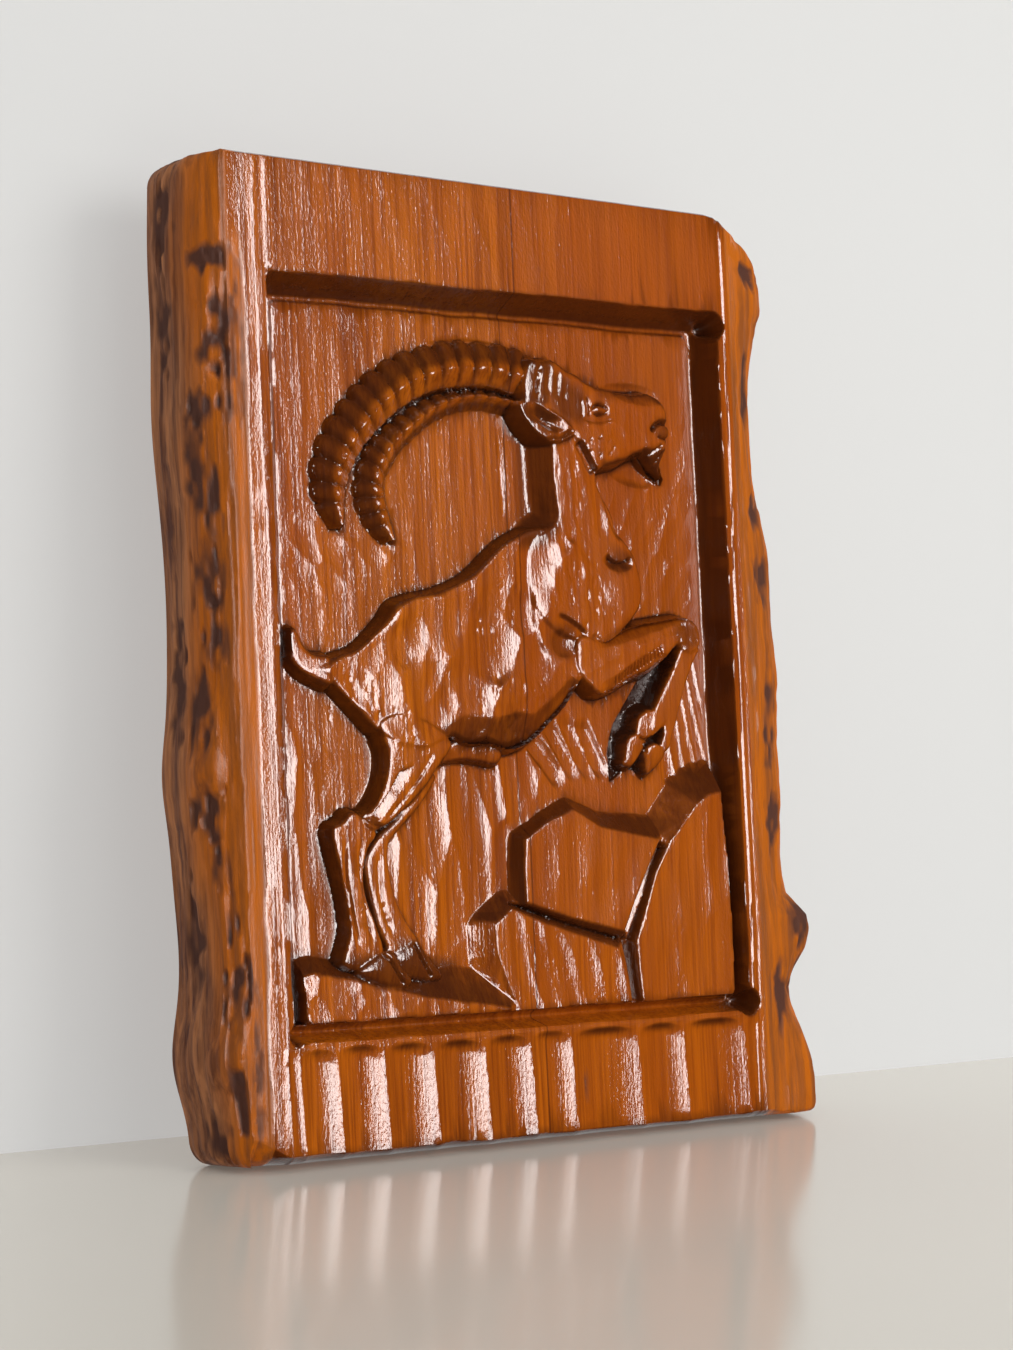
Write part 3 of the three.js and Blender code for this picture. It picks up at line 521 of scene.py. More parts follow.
def carve_body(surface):
    """The trunk with its neck, tail and hind legs, each with its planes and hollows."""
    def underside(x, z):
        lit_edge = np.interp(x, [68, 80, 95, 103, 112, 120, 130, 136],
                             [112, 117.5, 117, 119, 118.5, 124, 133, 130])
        return -0.40 * np.clip(lit_edge - z, 0, None) * ease(x, 66, 78)

    surface.raise_form(outline([(74, 106), (80, 108), (92, 108), (98, 104), (96, 99.5), (88, 100.5),
                                (80, 101), (72, 100), (66, 96)]),
                       along_axis((84, 107), (82, 100), 4.8, 3.2), edge=0.6, round_over=1.5, wall=2.8)
    surface.raise_form(outline(FAR_LEG), along_axis((60, 92), (50, 33), 5.4, 5.0), edge=1.0,
                       round_over=2.6, wall=3.2)
    surface.raise_form(outline(TRUNK), along_axis((20, 130), (60, 140), 7.0, 8.3), edge=0.9,
                       round_over=2.6, wall=3.4, blend=0.4)
    surface.wear(outline(TRUNK), underside, 0.1)
    surface.raise_form(outline(TAIL), along_axis((10, 146), (24, 134), 5.5, 7.2), edge=1.4,
                       round_over=2.6, wall=3.0)
    surface.raise_form(outline(NECK), along_axis((140, 150), (140, 220), 9.2, 8.8), edge=1.2,
                       round_over=4,
                       wall=lambda x, z: 1.05 + 2.0 * ease(x, 126, 134) + 0.4 * ease(195 - z, 0, 12),
                       blend=1.6)
    surface.gouge(outline(TRUNK), 14, 20, 0.85, 51, -28, 3.0)
    striated = outline([(127, 224), (139, 224), (142, 195), (138, 168), (124, 160), (118, 176)])
    surface.gouge(striated, 3.6, 13, 0.3, 52, 6, 3.0)
    surface.scoop((98, 150), (15, 21), 1.5, -12)
    surface.scoop((57, 145), (8, 11), 0.9, -20)
    surface.scoop((86, 132), (11, 13), 0.6, 10)
    surface.scoop((115, 176), (10, 12), 0.9, -35)
    surface.scoop((74, 152), (10, 11), 0.5, 0, soft=True)
    surface.scoop((128, 165), (19, 25), -0.6, -18, soft=True)
    surface.scoop((104, 126), (15, 9), -0.9, 5, soft=True)
    surface.scoop((156, 166), (10, 15), -0.8, 10, soft=True)
    surface.groove([(112.5, 168), (112, 155), (115, 145), (120, 137)], 9, 0.8, shape=1.6, lean=-0.5)
    surface.groove([(123.5, 157), (130, 154), (138.5, 148.5)], 5.5, 1.4, lean=-0.5)
    surface.scoop((127.5, 146), (6.5, 6), 1.3, 20)
    surface.groove([(138, 148), (143, 143), (147, 134)], 6, 0.9, lean=0.5)
    surface.groove([(148.5, 181.5), (151.5, 178.5), (156, 177.8), (161, 180.5)], 4.5, 2.0, lean=-0.6)
    surface.groove([(147.5, 214), (149.5, 203), (152, 194), (156, 186)], 5.0, 0.9, lean=0.5)
    surface.groove([(139, 221), (144, 212), (146.5, 200), (147, 186)], 7.0, 0.7, shape=1.6)
    surface.raise_form(outline(LEG), along_axis((53, 128), (50, 107), 6.6, 8.5), edge=1.0,
                       round_over=4.5, wall=3.4, blend=3.0)
    surface.scoop((47, 131), (23, 22), -1.0, 0, soft=True)
    surface.gouge(outline(THIGH), 12, 16, 0.6, 53, 22, 4.0)
    shin = np.array([(57, 99.5), (50.5, 97), (44.5, 88.5), (37.5, 80.5), (41, 78.5), (48, 86),
                     (54, 93)])
    surface.wear(shin, lambda x, z: -0.22 * np.clip(np.interp(z, [78, 99], [41.5, 57.5]) - x, 0, 6),
                 0.5)
    surface.scoop((53, 120), (9, 12), -0.9, -10, soft=True)
    surface.scoop((68, 122), (9, 16), 0.8, -8)
    surface.groove([(66, 104), (60, 96), (52, 87), (43, 78)], 3.0, 0.5, lean=-0.4, fade=0.15)
    surface.scoop((36, 128), (6, 9), 0.7, 30)
    surface.raise_form(outline(CANNON), along_axis((30, 76), (32, 27), 7.6, 7.2), edge=1.2,
                       round_over=2.6, wall=3.4)
    surface.groove([(33.5, 74), (32.8, 60), (35, 45), (36.8, 33)], 3.2, 1.1, lean=0.35)
    surface.groove([(27.2, 74), (26.6, 60), (28.8, 45), (31.5, 31)], 2.6, 0.8, lean=-0.3)
    surface.groove([(42, 68), (41.5, 58), (43, 47), (47, 36)], 3.0, 0.8, lean=0.3)
    surface.raise_form(outline(FAR_HOOF), along_axis((56, 32), (66, 20), 6.2, 5.2), edge=1.8,
                       round_over=4.5, wall=2.4, keen=0.4)
    surface.raise_form(outline(NEAR_HOOF), along_axis((38, 28), (52, 18), 9.0, 7.0), edge=2.2,
                       round_over=5, wall=2.6, keen=0.4)
    surface.groove([(40, 31), (44, 27), (50, 18.5)], 2.6, 1.4, fade=0.1)
    surface.groove([(55, 34), (58, 28), (63, 20.5)], 2.2, 1.2, fade=0.1)
    surface.groove([(34, 81), (39, 77.5), (44, 75)], 3.0, 1.0, lean=0.3)


def carve_foreleg(surface):
    """The raised foreleg over its dark pit, with the curls of hair under its arm."""

    def arm_planes(x, z):
        crest = np.interp(x, [140, 148.3, 156.1, 166.9, 181, 190], [143, 144.8, 146.6, 149.8, 154, 157])
        face_top = np.interp(x, [140, 151.3, 166.8, 180.7, 190], [141.5, 143.6, 146.4, 149.2, 152])
        strip_top = np.interp(x, [140, 152.4, 158, 164.1, 172.5, 180],
                              [129, 134.3, 138.2, 141.7, 142.8, 142])
        planes = 0.5 * np.clip(z - crest, 0, None) + 0.22 * np.clip(z - face_top, 0, None)
        planes = planes + 0.42 * np.clip(strip_top - z, 0, None)
        return -planes * ease(x, 140, 150) * ease(192 - x, 0, 8)

    def ridge(z):
        return np.interp(z, [110, 118, 122.6, 125, 135.2, 143.5, 150],
                         [168, 170, 172, 173.4, 178.8, 183.6, 187])

    surface.wear(PIT, lambda x, z: -PIT_DEPTH, 1.3)
    # The pit is painted near black: painted shade with pooled stain
    surface.darken(PIT, 2.0, 0.5)
    surface.raise_form(outline(UPPER_ARM), along_axis((136, 140), (188, 152), 9.2, 9.4), edge=0.7,
                       round_over=1.8, wall=3.6, blend=0.5)
    surface.wear(outline(UPPER_ARM), arm_planes, 0.1)
    surface.raise_form(FORE_CANNON, along_axis((187, 146), (174, 106), 8.6, 7.4), edge=0.5,
                       round_over=1.5, wall=3.4, blend=0.3)
    surface.raise_form(CANNON_FLANK, lambda x, z: 7.8 - 0.3 * np.clip(ridge(z) - x, 0, 6), edge=0.3,
                       round_over=0.8, wall=3.4, blend=0.2)
    surface.wipe(FORE_CANNON)
    surface.wipe(CANNON_FLANK, 0.15, 0.8)
    surface.raise_form(outline(FETLOCK), along_axis((160, 112), (174, 117), 6.4, 7.9), edge=0.9,
                       round_over=2, wall=2.6, blend=0.3)
    surface.raise_form(outline(LEFT_TOE), along_axis((163, 110), (156, 99), 7.0, 4.6), edge=0.7,
                       round_over=1.6, wall=2.6, keen=0.5)
    surface.raise_form(outline(RIGHT_TOE), along_axis((171, 106), (168, 96), 7.4, 5.0), edge=0.7,
                       round_over=1.6, wall=2.6, keen=0.5)
    for form in (FETLOCK, LEFT_TOE, RIGHT_TOE, UPPER_ARM):
        surface.wipe(outline(form))
    surface.groove([(174.6, 105), (180.4, 114), (184.8, 127), (189.8, 138.5), (193.2, 145)], 1.6, 0.9)
    surface.cut([(161, 110), (165, 108.6), (170, 109.5), (174, 113.5)], 2.0, 1.6)
    surface.cut([(164.5, 108), (165.5, 103)], 1.8, 1.6)
    surface.wear(outline(KNEE), lambda x, z: 0.25 * noise(x, z, 2.2, 3.0, 56), 1.5)
    surface.gouge(outline(UPPER_ARM), 8, 5, 0.3, 55, 20, 2.0)
    for share in np.linspace(0, 1, HAIR_CURLS):
        x, z = 151.5 + 22 * share, 129.2 + 12 * share
        top = 4.6 + 0.8 * math.sin(3 * share)
        surface.cut([(x, z), (x - 1.2, z + top)], 1.15, 0.8, fade=0.25)


def carve_head(surface):
    """The head with its ear, eye, nostril, mouth and beard."""
    surface.scoop((170, 216), (13, 6), 1.4, -8)
    surface.raise_form(outline(HEAD, 1.0), along_axis((130, 235), (180, 232), 10.0, 8.8), edge=1.3,
                       round_over=3.6, wall=3.4)
    surface.gouge(outline(HEAD, 1.0), 6, 7, 0.3, 54, 10, 2.0)
    beard = outline([(169, 224), (176, 226), (181.5, 224), (184, 212), (176, 216)], 1.0)
    surface.wear(beard, lambda x, z: -0.55 * np.clip(225 - z, 0, None), 0.6)
    surface.scoop((170, 247), (16, 5.5), 1.2, -1)
    surface.scoop((150, 225), (15, 9), -0.8, -8, soft=True)
    surface.groove([(138, 226), (141.5, 220.5), (146, 213.5)], 4.5, 2.4, lean=-0.5, fade=0.12)
    surface.groove([(118, 240.5), (119, 248), (121, 255)], 3.0, 1.0)
    for start, end, depth in [((125.5, 255), (123.5, 242), 0.5), ((129.5, 253.5), (127.5, 241), 0.45),
                              ((133.5, 251), (131, 240), 0.35)]:
        surface.cut([start, end], 3.2, 0.8 * depth, shape=1.4, lean=-0.3)
    surface.scoop((148, 238.4), (3.0, 1.9), -0.7, -8, soft=True)
    surface.groove([(143.4, 237.4), (146.5, 240.4), (150, 240.2), (153, 238.6)], 1.5, 1.0)
    surface.groove([(144, 237.3), (147, 236.2), (150.5, 237), (152.5, 238.4)], 1.3, 0.8)
    surface.groove([(141.8, 243.5), (143, 239), (142.4, 235)], 2.0, 0.8)
    surface.groove([(139.4, 242.5), (140.2, 238), (139.4, 234)], 1.8, 0.5)
    surface.groove([(138.5, 235), (146, 233.4), (156, 235.6)], 2.4, 0.5, lean=0.3)
    surface.groove([(173.5, 231.2), (176.5, 234.2), (180, 235.4), (184, 234)], 2.8, 1.9, lean=0.3,
                   fade=0.15)
    surface.groove([(176.5, 229.8), (180, 229.2), (184, 229.5)], 1.6, 1.0, fade=0.15)
    surface.groove([(172, 221.5), (176, 224.5), (180, 227)], 2.0, 0.7)
    surface.groove([(176, 217.5), (178.5, 221.5), (180.8, 225)], 1.6, 0.6)
    for index in range(8):
        turn = index / 8 * math.tau
        x, z = 148.5 + 6.5 * math.cos(turn), 224.5 + 3.6 * math.sin(turn)
        surface.cut([(x, z), (x - 2.2, z - 1.6)], 1.2, 0.35, fade=0.3)
    surface.raise_form(outline(EAR, 1.0), along_axis((112, 239), (134, 231), 9.4, 11.0), edge=0.6,
                       round_over=1.2, wall=3.2, blend=0.3)
    surface.groove([(112.2, 237.6), (118, 235.2), (124, 232), (132, 228.6)], 7.4, 3.0, shape=1.3,
                   fade=0.42)
    surface.groove([(116.5, 235.3), (122, 232.4), (127.5, 230)], 1.6, -0.9, fade=0.35)
    surface.groove([(122, 224.5), (128, 226), (135, 229.5)], 2.4, 1.0, lean=0.3)


# Places darkened with stain and painted shade: outline, amount and margin
STAINS_AND_SHADE = [
    ([(112, 240), (117, 240.5), (124, 241), (126, 249), (127, 256), (117, 256), (113, 249)], 0.75, 2.0),
    ([(124, 253), (140, 245), (141, 235), (136, 232), (126, 237)], 0.7, 3.0),
    ([(150, 243), (164, 243.5), (178, 243), (180, 246), (150, 247)], 0.5, 2.0),
    ([(176, 231), (183, 236), (184, 233), (180, 229)], 0.6, 1.0),
    ([(158, 214), (170, 219), (182, 212), (176, 222), (170, 224), (160, 219)], 0.85, 1.5),
    ([(110, 228), (116, 226.5), (117, 236), (110, 238)], 0.85, 1.5),
    ([(108, 184), (118, 183), (127, 190), (126, 200), (116, 198)], 0.8, 3.0),
    ([(170, 223), (177, 225), (181, 222), (183, 213), (176, 217)], 0.7, 1.0),
    ([(113, 236.5), (122, 231.5), (130, 228.6), (126, 232.5), (117, 237.5)], 0.8, 1.0),
    ([(113, 187), (125, 190), (126, 226), (115, 229), (113, 205)], 0.55, 3.0),
    ([(121, 142), (131, 140), (132, 152), (122, 152)], 0.55, 2.0),
    ([(148, 179), (155, 175), (162, 180), (156, 183)], 0.6, 1.5),
    (KNEE, 0.55, 1.5),
    ([(146, 147), (156, 151), (172, 156), (190, 155), (183, 159), (165, 156), (152, 152)], 0.6, 1.5),
    ([(30, 24), (41, 31), (50, 24), (54, 19), (40, 17), (33, 21)], 0.8, 1.2),
    ([(46, 29), (56, 35), (63, 28), (68, 20), (54, 19)], 0.85, 1.2),
    ([(70, 112), (80, 117.5), (95, 117), (103, 119), (112, 118.5), (121, 125), (113, 110), (100, 104),
      (80, 106)], 0.7, 1.2),
    ([(2, 23), (13, 26.5), (30, 23), (60, 15), (97, 9), (80, 22), (68, 28), (20, 31), (2, 32)], 0.8,
     1.5),
]


def stain_and_shade_body(surface):
    """Darkens the places where the wood was cut most deeply with stain and painted shade."""
    for points, amount, margin in STAINS_AND_SHADE:
        surface.darken(outline(points), amount, margin)


# Patches of hair: left, right, low and high side, number of strokes and their length
HAIR_PATCHES = [
    (128, 146, 150, 222, 60, 7), (84, 118, 107, 117, 70, 4), (88, 119, 117, 135, 40, 5),
    (84, 108, 150, 170, 20, 5), (26, 42, 118, 136, 24, 4), (40, 58, 108, 124, 16, 5),
]


def carve_hair(surface):
    """Short strokes of hair on the chest, the belly and the hindquarters."""
    generator = np.random.default_rng(5)
    for low_x, high_x, low_z, high_z, count, length in HAIR_PATCHES:
        for _ in range(count):
            x, z = generator.uniform(low_x, high_x), generator.uniform(low_z, high_z)
            lean = generator.uniform(-0.25, 0.25)
            tip = (x + lean * length, z - length * generator.uniform(0.6, 1.2))
            surface.cut([(x, z), tip], generator.uniform(1.2, 2.0), generator.uniform(0.10, 0.26),
                        fade=0.35)


def carve_relief(surface):
    """Everything in the sunk field, from the ground up to the near horn."""
    carve_ground(surface)
    carve_rocks(surface)
    carve_horn(surface, FAR_HORN_OUTER, FAR_HORN_INNER, 6.6, 5.2, 0.9, 1.1)
    carve_body(surface)
    carve_foreleg(surface)
    carve_head(surface)
    carve_horn(surface, NEAR_HORN_OUTER, NEAR_HORN_INNER, 8.6, 6.6, 1.25, 3.0)
    carve_hair(surface)
    stain_and_shade_body(surface)


# The frame around the field

# Where the flutes of the bottom rail meet
FLUTE_EDGES = [-3.0, 2.0, 17.5, 37.0, 58.0, 80.5, 101.0, 119.5, 151.0, 173.0, 203.5, 212.0]
# Distances inside the rim, and how deep the wall or the channel is there
WALL = ([-1, 0, 0.4, 3.4, 4.8, 5.8, 30], [0, 0, 0.9, 9.8, 12.6, 13.2, 13.2])
BOTTOM_WALL = ([-1, 0, 0.35, 0.9, 1.6, 2.5, 3.4, 4.3, 5.1, 5.8, 30],
               [0, 0, 1.8, 5.5, 8.3, 10.3, 11.1, 11.1, 10.2, 8.6, 8.6])
CHANNEL = ([0, 5.6, 6.6, 7.2, 7.5, 7.9, 8.4, 8.9, 30], [13.2, 13.2, 12.9, 12.2, 11.4, 8.5, 4.0, 0, 0])
# Rounded pockets in the corners: centre and radius
POCKETS = [(206.4, 3.8, 5.8), (205.6, 276.6, 6.0), (2.5, 3.0, 4.2)]


def rim_distance(x, z):
    """How far inside the rim a place is, with every side's slope scaled to a width of 8."""
    left = x - 0.35 * noise(x * 0, z, 9, 9, 41)
    right_width = np.interp(z, [0, 20, 60, 95, 110], [5.0, 4.4, 5.2, 7.5, 8.0])
    right = (RIM_WIDTH + 0.35 * noise(x * 0, z, 9, 11, 42) - x) * 8 / right_width
    bottom = (z - 0.25 * noise(x, z * 0, 12, 9, 43)) * 8 / 6.4
    top = (RIM_HEIGHT + 0.012 * x + 0.7 * noise(x, z * 0, 13, 9, 44) - z) * 8 / 9.5
    sides = np.stack([left, right, bottom, top])
    nearest_two = np.sort(sides, axis=0)[:2]
    corner = np.clip(3.0 - (nearest_two[1] - nearest_two[0]), 0, None)
    distance = nearest_two[0] - corner ** 2 / 12
    for centre_x, centre_z, radius in POCKETS:
        pocket = radius - np.hypot(x - centre_x, z - centre_z)
        overlap = np.clip(1.5 - np.abs(pocket - distance), 0, None)
        distance = np.maximum(distance, pocket) + overlap ** 2 / 6
    return distance, left, bottom


def frame_depth(x, z):
    """The depth of the stiles and rails outside the field."""
    wander = 0.8 * noise(x * 0, z, 9, 40, 51) + 0.004 * (z - 140)
    tilted = np.interp(x + wander, [-17, -13.5, -9, -3.2, -2.6, 0.5], [1.2, 0.85, 0.6, 0.22, 0.3, 0.9])
    flat = np.interp(x + wander, [-17, -16.4, -9.4, -8.8, -3.6, -3.0, 0.5],
                     [0.6, 0.15, 0.45, 0.35, 0.50, 0.30, 0.7])
    left = tilted + (flat - tilted) * ease(z, -60, 60)
    right = np.interp(x - wander, [207, 209.8, 210.6, 212.6, 214], [0.2, 0.9, 0.25, 0.6, 0.15])
    depth = np.where(x < 1, left, np.where(x > 206, right, 0.25))
    on_top = ease(z, 281, 283) * ease(x, -4, 2) * ease(210 - x, 0, 4)
    depth = depth * (1 - on_top) + (0.15 + tool_marks(x, z, 19, 90, 0.18, 61, 0.05)) * on_top
    edges = np.array(FLUTE_EDGES)
    slanted = x + 0.05 * (z + 2) + 0.5 * noise(x * 0 + z * 0.3, z, 9, 14, 62)
    index = np.clip(np.searchsorted(edges, slanted) - 1, 0, len(edges) - 2)
    share = (slanted - edges[index]) / (edges[index + 1] - edges[index])
    width = edges[index + 1] - edges[index]
    hollow = np.clip(4 * share * (1 - share), 0, 1)
    top_of_flute = -2.2 - 2.2 * (2 * share - 1) ** 2 - 0.8 * noise(index * 7.0, x * 0, 5, 5, 63)
    down = np.clip((top_of_flute - z) / 5.0, 0, 1)
    flute = 0.15 + np.minimum(1.9, 0.078 * width) * hollow * (1 - (1 - down) ** 2)
    on_bottom = (z < -1.2) & (x > -3.2 - 0.04 * (z + 2)) & (x < 210)
    depth = np.where(on_bottom, flute, depth)
    lower_edge = np.clip(-39.6 - 1.2 * noise(x, z * 0, 18, 9, 64) - z, 0, None)
    corner = np.clip(-33 - z + 0.55 * (np.abs(x - 98) - 112), 0, None) * (x < -2)
    upper_edge = np.clip(z - BOARD_TOP + 0.8, 0, None)
    return depth + lower_edge * 1.3 + 0.8 * corner + upper_edge


def board_front(surface):
    """The depth of every place on the front, with the field's walls and channel."""
    x, z = surface.x, surface.z
    rim, from_left, from_bottom = rim_distance(x, z)
    relief = GROUND - surface.height
    channel = np.interp(rim, *CHANNEL)
    overlap = np.clip(0.8 - np.abs(relief - channel), 0, None)
    field = np.maximum(relief, channel) + overlap ** 2 / 3.2
    wall = np.interp(rim, *WALL)
    lower = ease(from_left, 1, 4) * ease(RIM_WIDTH - 3 - x, 0, 4) * (from_bottom < 8)
    wall = np.where(from_bottom < 8,
                    wall + (np.minimum(wall, np.interp(z, *BOTTOM_WALL)) - wall) * lower, wall)
    field = np.minimum(field, wall)
    outside = frame_depth(x, z)
    softened = np.clip(rim, 0, None) / 0.6
    return np.where(rim > 0, np.maximum(field, outside * np.clip(1 - softened, 0, 1)),
                    np.maximum(outside, field * (rim > -30)))


# The natural edges. A section runs from the front round to the back, in shares of the edge's
# spread and of the board's thickness.

EDGE_SECTION = [(0, 0), (0.12, 0.018), (0.27, 0.07), (0.56, 0.22), (0.82, 0.46), (0.95, 0.75), (1, 1)]
SQUARE_SECTION = [(0, 0), (0.3, 0.015), (0.6, 0.035), (0.85, 0.08), (0.95, 0.16), (0.99, 0.4),
                  (1, 0.75), (1, 1)]
END_RADIUS = 9.0
EDGE_INSET = 1.6
LEFT_EDGE = dict(
    start_x=FRONT_LEFT, outward=-1, spread=17.0, seed=71,
    squareness=([BOARD_LOW, BOARD_TOP], [0, 0]),
    swellings=[(0.02, -4, 0.08), (0.1, 3.5, 0.05), (0.2, -2, 0.07), (0.38, 2.5, 0.05),
               (0.55, -1.5, 0.1), (0.74, 2, 0.08), (0.9, 1.5, 0.08)],
    knots=[(8, 283, 9, 6, 0.9), (4, 262, 5, 12, 0.9), (9, 250, 7, 9, 0.9), (3, 236, 4, 16, 0.9),
           (13, 228, 7, 8, 0.7), (15, 168, 8, 15, 0.9), (12, 145, 6, 12, 0.8), (15, 82, 8, 12, 1.5),
           (9, 45, 4, 14, 1.0), (5, 20, 9, 12, 1.3), (16, 205, 5, 22, 0.7), (10, 192, 4, 16, 0.6),
           (17, 118, 6, 18, 0.7), (12, 62, 5, 12, 0.8), (28, 300, 6, 16, 0.7), (30, 265, 5, 24, 0.7),
           (27, 40, 6, 22, 0.8), (30, 130, 5, 26, 0.6), (6, -18, 5, 14, 0.9), (20, -30, 7, 10, 0.6)],
    lumps=[(11, -5, 9, 11, 2.2), (14, 98, 7, 9, 1.8), (10, 272, 6, 8, 0.9), (15, 180, 7, 14, 0.9),
           (12, 140, 6, 10, 0.8)])
RIGHT_EDGE = dict(
    start_x=FRONT_RIGHT, outward=1, spread=25.0, seed=81,
    squareness=([-42, -22, 0, 8, 16, 22, 37, 46, 94, 131, 180, 206, 250, 289, 302, 323],
                [1, 0.9, 0.4, 0.3, 0.55, 0.75, 0.85, 0.35, 0.5, 0.6, 0.35, 0.2, 0.1, 0.3, 0.5, 0.6]),
    swellings=[(0.0, 7, 0.14), (0.2, 7, 0.045), (0.42, 1.5, 0.15), (0.62, 3, 0.06), (0.76, -2.5, 0.1),
               (0.9, 6, 0.045)],
    knots=[(10, 303, 8, 9, 0.9), (13, 203, 8, 10, 0.9), (13, 175, 7, 11, 0.8), (20, 34, 8, 12, 1.0),
           (12, 252, 5, 16, 0.6), (12, 120, 5, 24, 0.6), (14, 75, 6, 14, 0.6), (9, 5, 5, 14, 0.5),
           (24, 278, 6, 8, 0.7), (22, 10, 6, 14, 0.7)],
    lumps=[(18, 289, 8, 10, 1.2), (20, 34, 9, 12, 1.4)])


def swell(swellings, z):
    """How far the edge bulges at each height: rows of centre, reach and half width."""
    share = (z - BOARD_LOW) / BOARD_HEIGHT
    return sum(reach * np.exp(-((share - centre) / half) ** 2) for centre, reach, half in swellings)


def arc_length(section, spread):
    """How far each place of a section lies along it, in millimetres from the front."""
    steps = np.hypot(np.diff(section[:, 0] * spread), np.diff(section[:, 1] * THICKNESS))
    return np.concatenate([[0], np.cumsum(steps)])


def natural_edge(rows, columns, start_x, outward, spread, seed, squareness, swellings, knots, lumps):
    """One natural edge from front to back: x, depth, how much bark each place shows and how far
    round the edge it lies. Knots and lumps are rows of centre, half sizes and height."""
    section = smooth_line(EDGE_SECTION, step=0.03)
    squarer = smooth_line(SQUARE_SECTION, step=0.03)
    length = arc_length(section, spread)
    s = np.linspace(0, length[-1], columns + 1)[1:]
    out = np.interp(s, length, section[:, 0])
    deep = np.interp(s, length, section[:, 1])
    slope_out, slope_deep = np.gradient(out * spread), np.gradient(deep * THICKNESS)
    norm = np.hypot(slope_out, slope_deep)
    normal_out, normal_deep = slope_deep / norm, -slope_out / norm
    squarer_length = arc_length(squarer, spread)
    along = s / length[-1] * squarer_length[-1]
    share = np.interp(rows, *squareness)[:, None]
    out = out * (1 - share) + np.interp(along, squarer_length, squarer[:, 0]) * share
    deep = deep * (1 - share) + np.interp(along, squarer_length, squarer[:, 1]) * share
    z, s = np.meshgrid(rows, s, indexing="ij")
    from_end = np.minimum(np.minimum(z - BOARD_LOW, BOARD_TOP - z), END_RADIUS)
    corner = END_RADIUS - np.sqrt(END_RADIUS ** 2 - (END_RADIUS - from_end) ** 2)
    corner = np.where((z < 0) & (outward > 0), 0.3 * corner, corner)
    reach = spread + swell(swellings, z) - corner - EDGE_INSET
    bend = 1.6 * noise(s, z, 12, 30, seed + 6)
    lumpy = 0.7 * noise(s, z, 7, 26, seed) - 0.75 * np.abs(noise(s + bend, z, 3.2, 42, seed + 1))
    lumpy += (0.30 - 0.45 * np.abs(noise(s + bend, z, 1.7, 26, seed + 2))
              + 0.25 * noise(s, z, 4, 5, seed + 3))
    dark = np.zeros(s.shape)
    for cs, cz, rs, rz, deepness in knots:
        ragged = 1 - ((s - cs) / rs) ** 2 - ((z - cz) / rz) ** 2 + 0.9 * noise(s, z, 2.2, 6.0, seed + 4)
        hole = np.clip(ragged, 0, 1)
        lumpy = lumpy - deepness * hole + 0.3 * deepness * hole * noise(s, z, 1.4, 3.0, seed + 5)
        dark = np.maximum(dark, np.clip(0.95 * hole, 0, 1))
    for cs, cz, rs, rz, high in lumps:
        lumpy = lumpy + high * np.clip(1 - ((s - cs) / rs) ** 2 - ((z - cz) / rz) ** 2, 0, 1)
    settle = ease(s, 0, 3.0) * ease(length[-1] - s, 0, 2.0)
    push = lumpy * settle
    x = start_x + outward * (out * reach + push * normal_out)
    depth = deep * THICKNESS + push * normal_deep
    return x, np.clip(depth, 0.02, THICKNESS), dark, s / length[-1]


# Mesh of the whole board

EDGE_GIRTH = 44.0
SHOULDER_HEIGHT = 26.0
HOLLOW_REACH = 1.2


def front_marks(x, z):
    """Dark marks on the front: bark left along the stile, a small knot and a drying crack."""
    knot = 1.2 - ((x - 126) / 1.7) ** 2 - ((z + 24) / 3.4) ** 2
    crack = 1 - np.abs(x - 120 - 0.05 * (300 - z) + 0.5 * noise(z, z * 0, 6, 9, 92)) / 0.35
    crack = np.where((z > 284) & (z < 323), 0.7 * crack, 0)
    ragged = 0.9 * noise(x, z, 2.0, 5.0, 93)
    upper = 1 - ((x + 14) / 5.0) ** 2 - ((z - 254) / 32) ** 2 + ragged
    lower = 1 - ((x + 16) / 4.5) ** 2 - ((z + 8) / 30) ** 2 + ragged
    bark = 0.75 * np.clip(np.maximum(upper, lower), 0, 1) * ease(-8.5 - x, 0, 1.5)
    return np.clip(np.maximum.reduce([knot, crack, bark]), 0, 1)


def blurred(values, reach):
    """A box blur over the net, for finding hollows."""
    for axis in (0, 1):
        padded = np.pad(values, [(reach + 1, reach) if a == axis else (0, 0) for a in (0, 1)],
                        mode="edge")
        total = np.cumsum(padded, axis=axis)
        high = np.take(total, np.arange(2 * reach + 1, total.shape[axis]), axis=axis)
        low = np.take(total, np.arange(0, total.shape[axis] - 2 * reach - 1), axis=axis)
        values = (high - low) / (2 * reach + 1)
    return values


